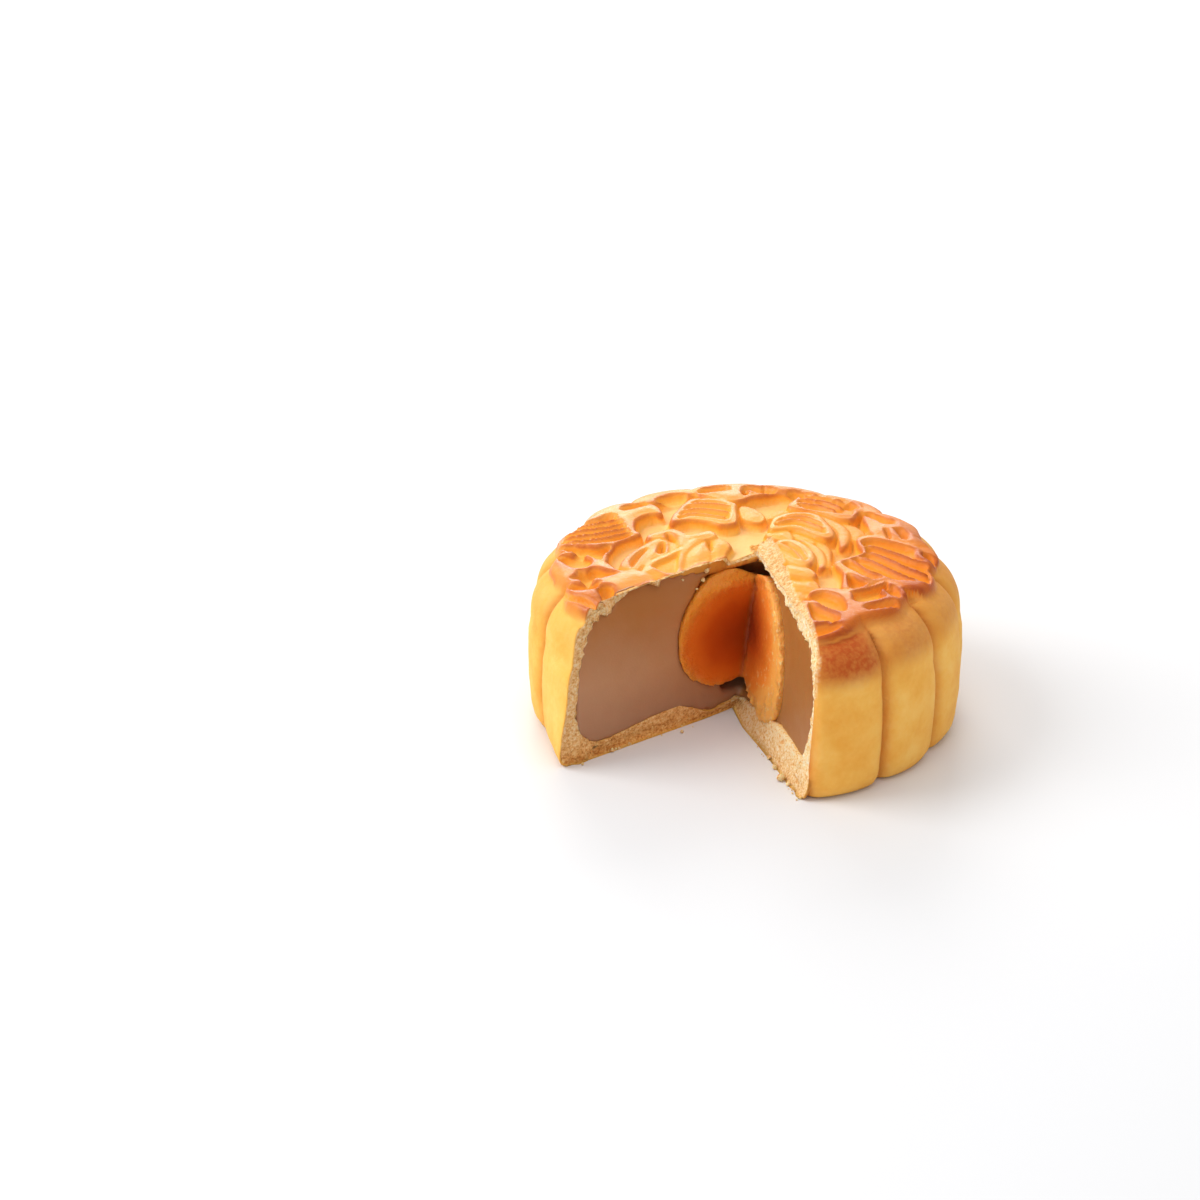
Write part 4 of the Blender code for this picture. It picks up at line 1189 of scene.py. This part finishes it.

# %% [markdown]
# The yolk's left face was wiped smooth by the knife and darkens towards its heart: its own darker core, with
# painted shade of the corner between the cuts laid over it. The right one tore a little, so it is streaked
# and darkens towards the crease in the same way; the pale strands near its rim are painted highlights on the
# torn grain. Both are matt in the crease where they meet, and its dark colour there is painted shade.

# %% Salted yolk
CREASE_MIDDLE = (0.6, 0, 15.5)
CREASE_REACH = (14, 14, 11.6)
cured, tree, shader = finish("salted_yolk", 0.38, Subsurface_Weight=0.3, Subsurface_Scale=0.002,
                             Coat_Roughness=0.25, Specular_IOR_Level=0.15)
broad, fine, specks = use(tree, mottling, Broad_size=5.0, Fine_size=0.7)
grains, raised = use(tree, crumb_grain, Size=0.9, Depth=0.5)
rough_edge = plus(tree, from_middle(tree, YOLK_CENTRE, YOLK_HALF), swing(tree, broad, 0.16))
# Painted shade with the yolk's own dark core: the left face darkens towards its heart.
smooth_side = ramp(tree, rough_edge, [(0.25, 152, 50, 12), (0.6, 190, 76, 14), (0.88, 222, 110, 28),
                                      (1.0, 244, 150, 48)])
# The right face darkens towards the crease: the yolk's own core, with painted shade near the corner.
streaky = plus(tree, from_middle(tree, CREASE_MIDDLE, CREASE_REACH), swing(tree, broad, 0.3))
streaky = plus(tree, streaky, swing(tree, fine, 0.25))
grainy_side = ramp(tree, streaky, [(0.1, 154, 52, 14), (0.36, 200, 86, 26), (0.6, 226, 118, 38),
                                   (0.85, 252, 146, 54), (1.0, 255, 176, 84)])
# Painted highlights: pale strands on the torn grain near the rim.
strand_highlights = times(tree, stretched(tree, grains, 0.55, 0.8), stretched(tree, streaky, 0.5, 0.85))
grainy_side = blend_colours(tree, times(tree, strand_highlights, 0.7), grainy_side, colour(255, 222, 160))
shade = blend_colours(tree, attribute(tree, "right"), smooth_side, grainy_side)
# Painted shade: the crease where the two cut faces meet is coloured dark.
crease = attribute(tree, "crease")
shade = blend_colours(tree, times(tree, crease, 0.9), shade, colour(104, 30, 6))
fill(tree, shader.inputs["Base Color"], shade)
fill(tree, shader.inputs["Roughness"], plus(tree, times(tree, crease, 0.6), 0.38, True))
fill(tree, shader.inputs["Coat Weight"], less(tree, 0.4, times(tree, crease, 0.6), True))
bump(tree, shader, times(tree, raised, stretched(tree, rough_edge, 0.78, 0.95)), 0.8)

# %% [markdown]
# The loose crumbs are the same dough as the crust's cut, so they take the same grain, a little coarser. Their
# colours lie between its pale and its toasted, shaded dough, with painted highlight and shade on the grain.

# %% Loose crumb
loose, tree, shader = finish("loose_crumb", 0.8, Subsurface_Weight=0.2, Subsurface_Scale=0.001)
grains, raised = use(tree, crumb_grain, Size=0.5, Depth=0.4)
# Paler on the lumps and darker between them: painted highlight and painted shade over the dough's own grain.
fill(tree, shader.inputs["Base Color"], ramp(tree, grains, [(0.0, 220, 152, 84), (0.5, 252, 222, 160)]))
bump(tree, shader, raised, 0.7)

# %% [markdown]
# ## Putting the pieces in the frame
# Each finished piece takes its finish and rides on the cake's one body; the solid that a piece stands for is
# hidden.

# %% Frame
for piece, made, node, slot in ((crust, baked, "crust", "baked_crust"),
                                (filling, paste, "filling", "lotus_paste"),
                                (yolk, cured, "yolk", "salted_yolk"),
                                (crumbs, loose, None, "baked_crust")):
    piece.data.materials.clear()
    piece.data.materials.append(made)
    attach(piece, "root")
    if node:
        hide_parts(node)
    print(f"{piece.name} in {made.name}, with {len(made.node_tree.nodes)} nodes")

# %% [markdown]
# ## Floor and light
# A pale floor and soft light: a window at the left lights the right cut face, a low one behind the cake
# makes the glazed crests shine, a weak one overhead fills the wedge, and a bright surround softens the
# shade.

# %% Floor and light
SURROUND = 0.68
LOOKED_AT = Vector((0, 0, 15 * MM))
pick()
bpy.ops.mesh.primitive_plane_add(size=4)
floor = named("floor")
pale, tree, shader = finish("pale_floor", 0.6)
shader.inputs["Base Color"].default_value = colour(224, 224, 225)
floor.data.materials.append(pale)


def soft_light(name, azimuth, elevation, reach, size, power):
    """A square area light that looks at the middle of the cake."""
    lamp = bpy.data.lights.new(name, "AREA")
    lamp.size = size
    lamp.energy = power
    made = bpy.data.objects.new(name, lamp)
    bpy.context.scene.collection.objects.link(made)
    a, e = math.radians(azimuth), math.radians(elevation)
    out = Vector((math.cos(a) * math.cos(e), math.sin(a) * math.cos(e), math.sin(e)))
    made.location = out * reach + LOOKED_AT
    made.rotation_euler = out.to_track_quat("Z", "Y").to_euler()


soft_light("window", 150, 42, 0.7, 0.45, 3.4)
soft_light("back", 68, 22, 0.9, 0.5, 3.4)
soft_light("overhead", 270, 80, 0.8, 0.5, 1.2)
world = bpy.data.worlds.new("surround")
world.use_nodes = True
background = world.node_tree.nodes["Background"]
background.inputs["Color"].default_value = (1, 1, 1, 1)
background.inputs["Strength"].default_value = SURROUND
bpy.context.scene.world = world
bpy.context.scene.view_settings.view_transform = "Standard"
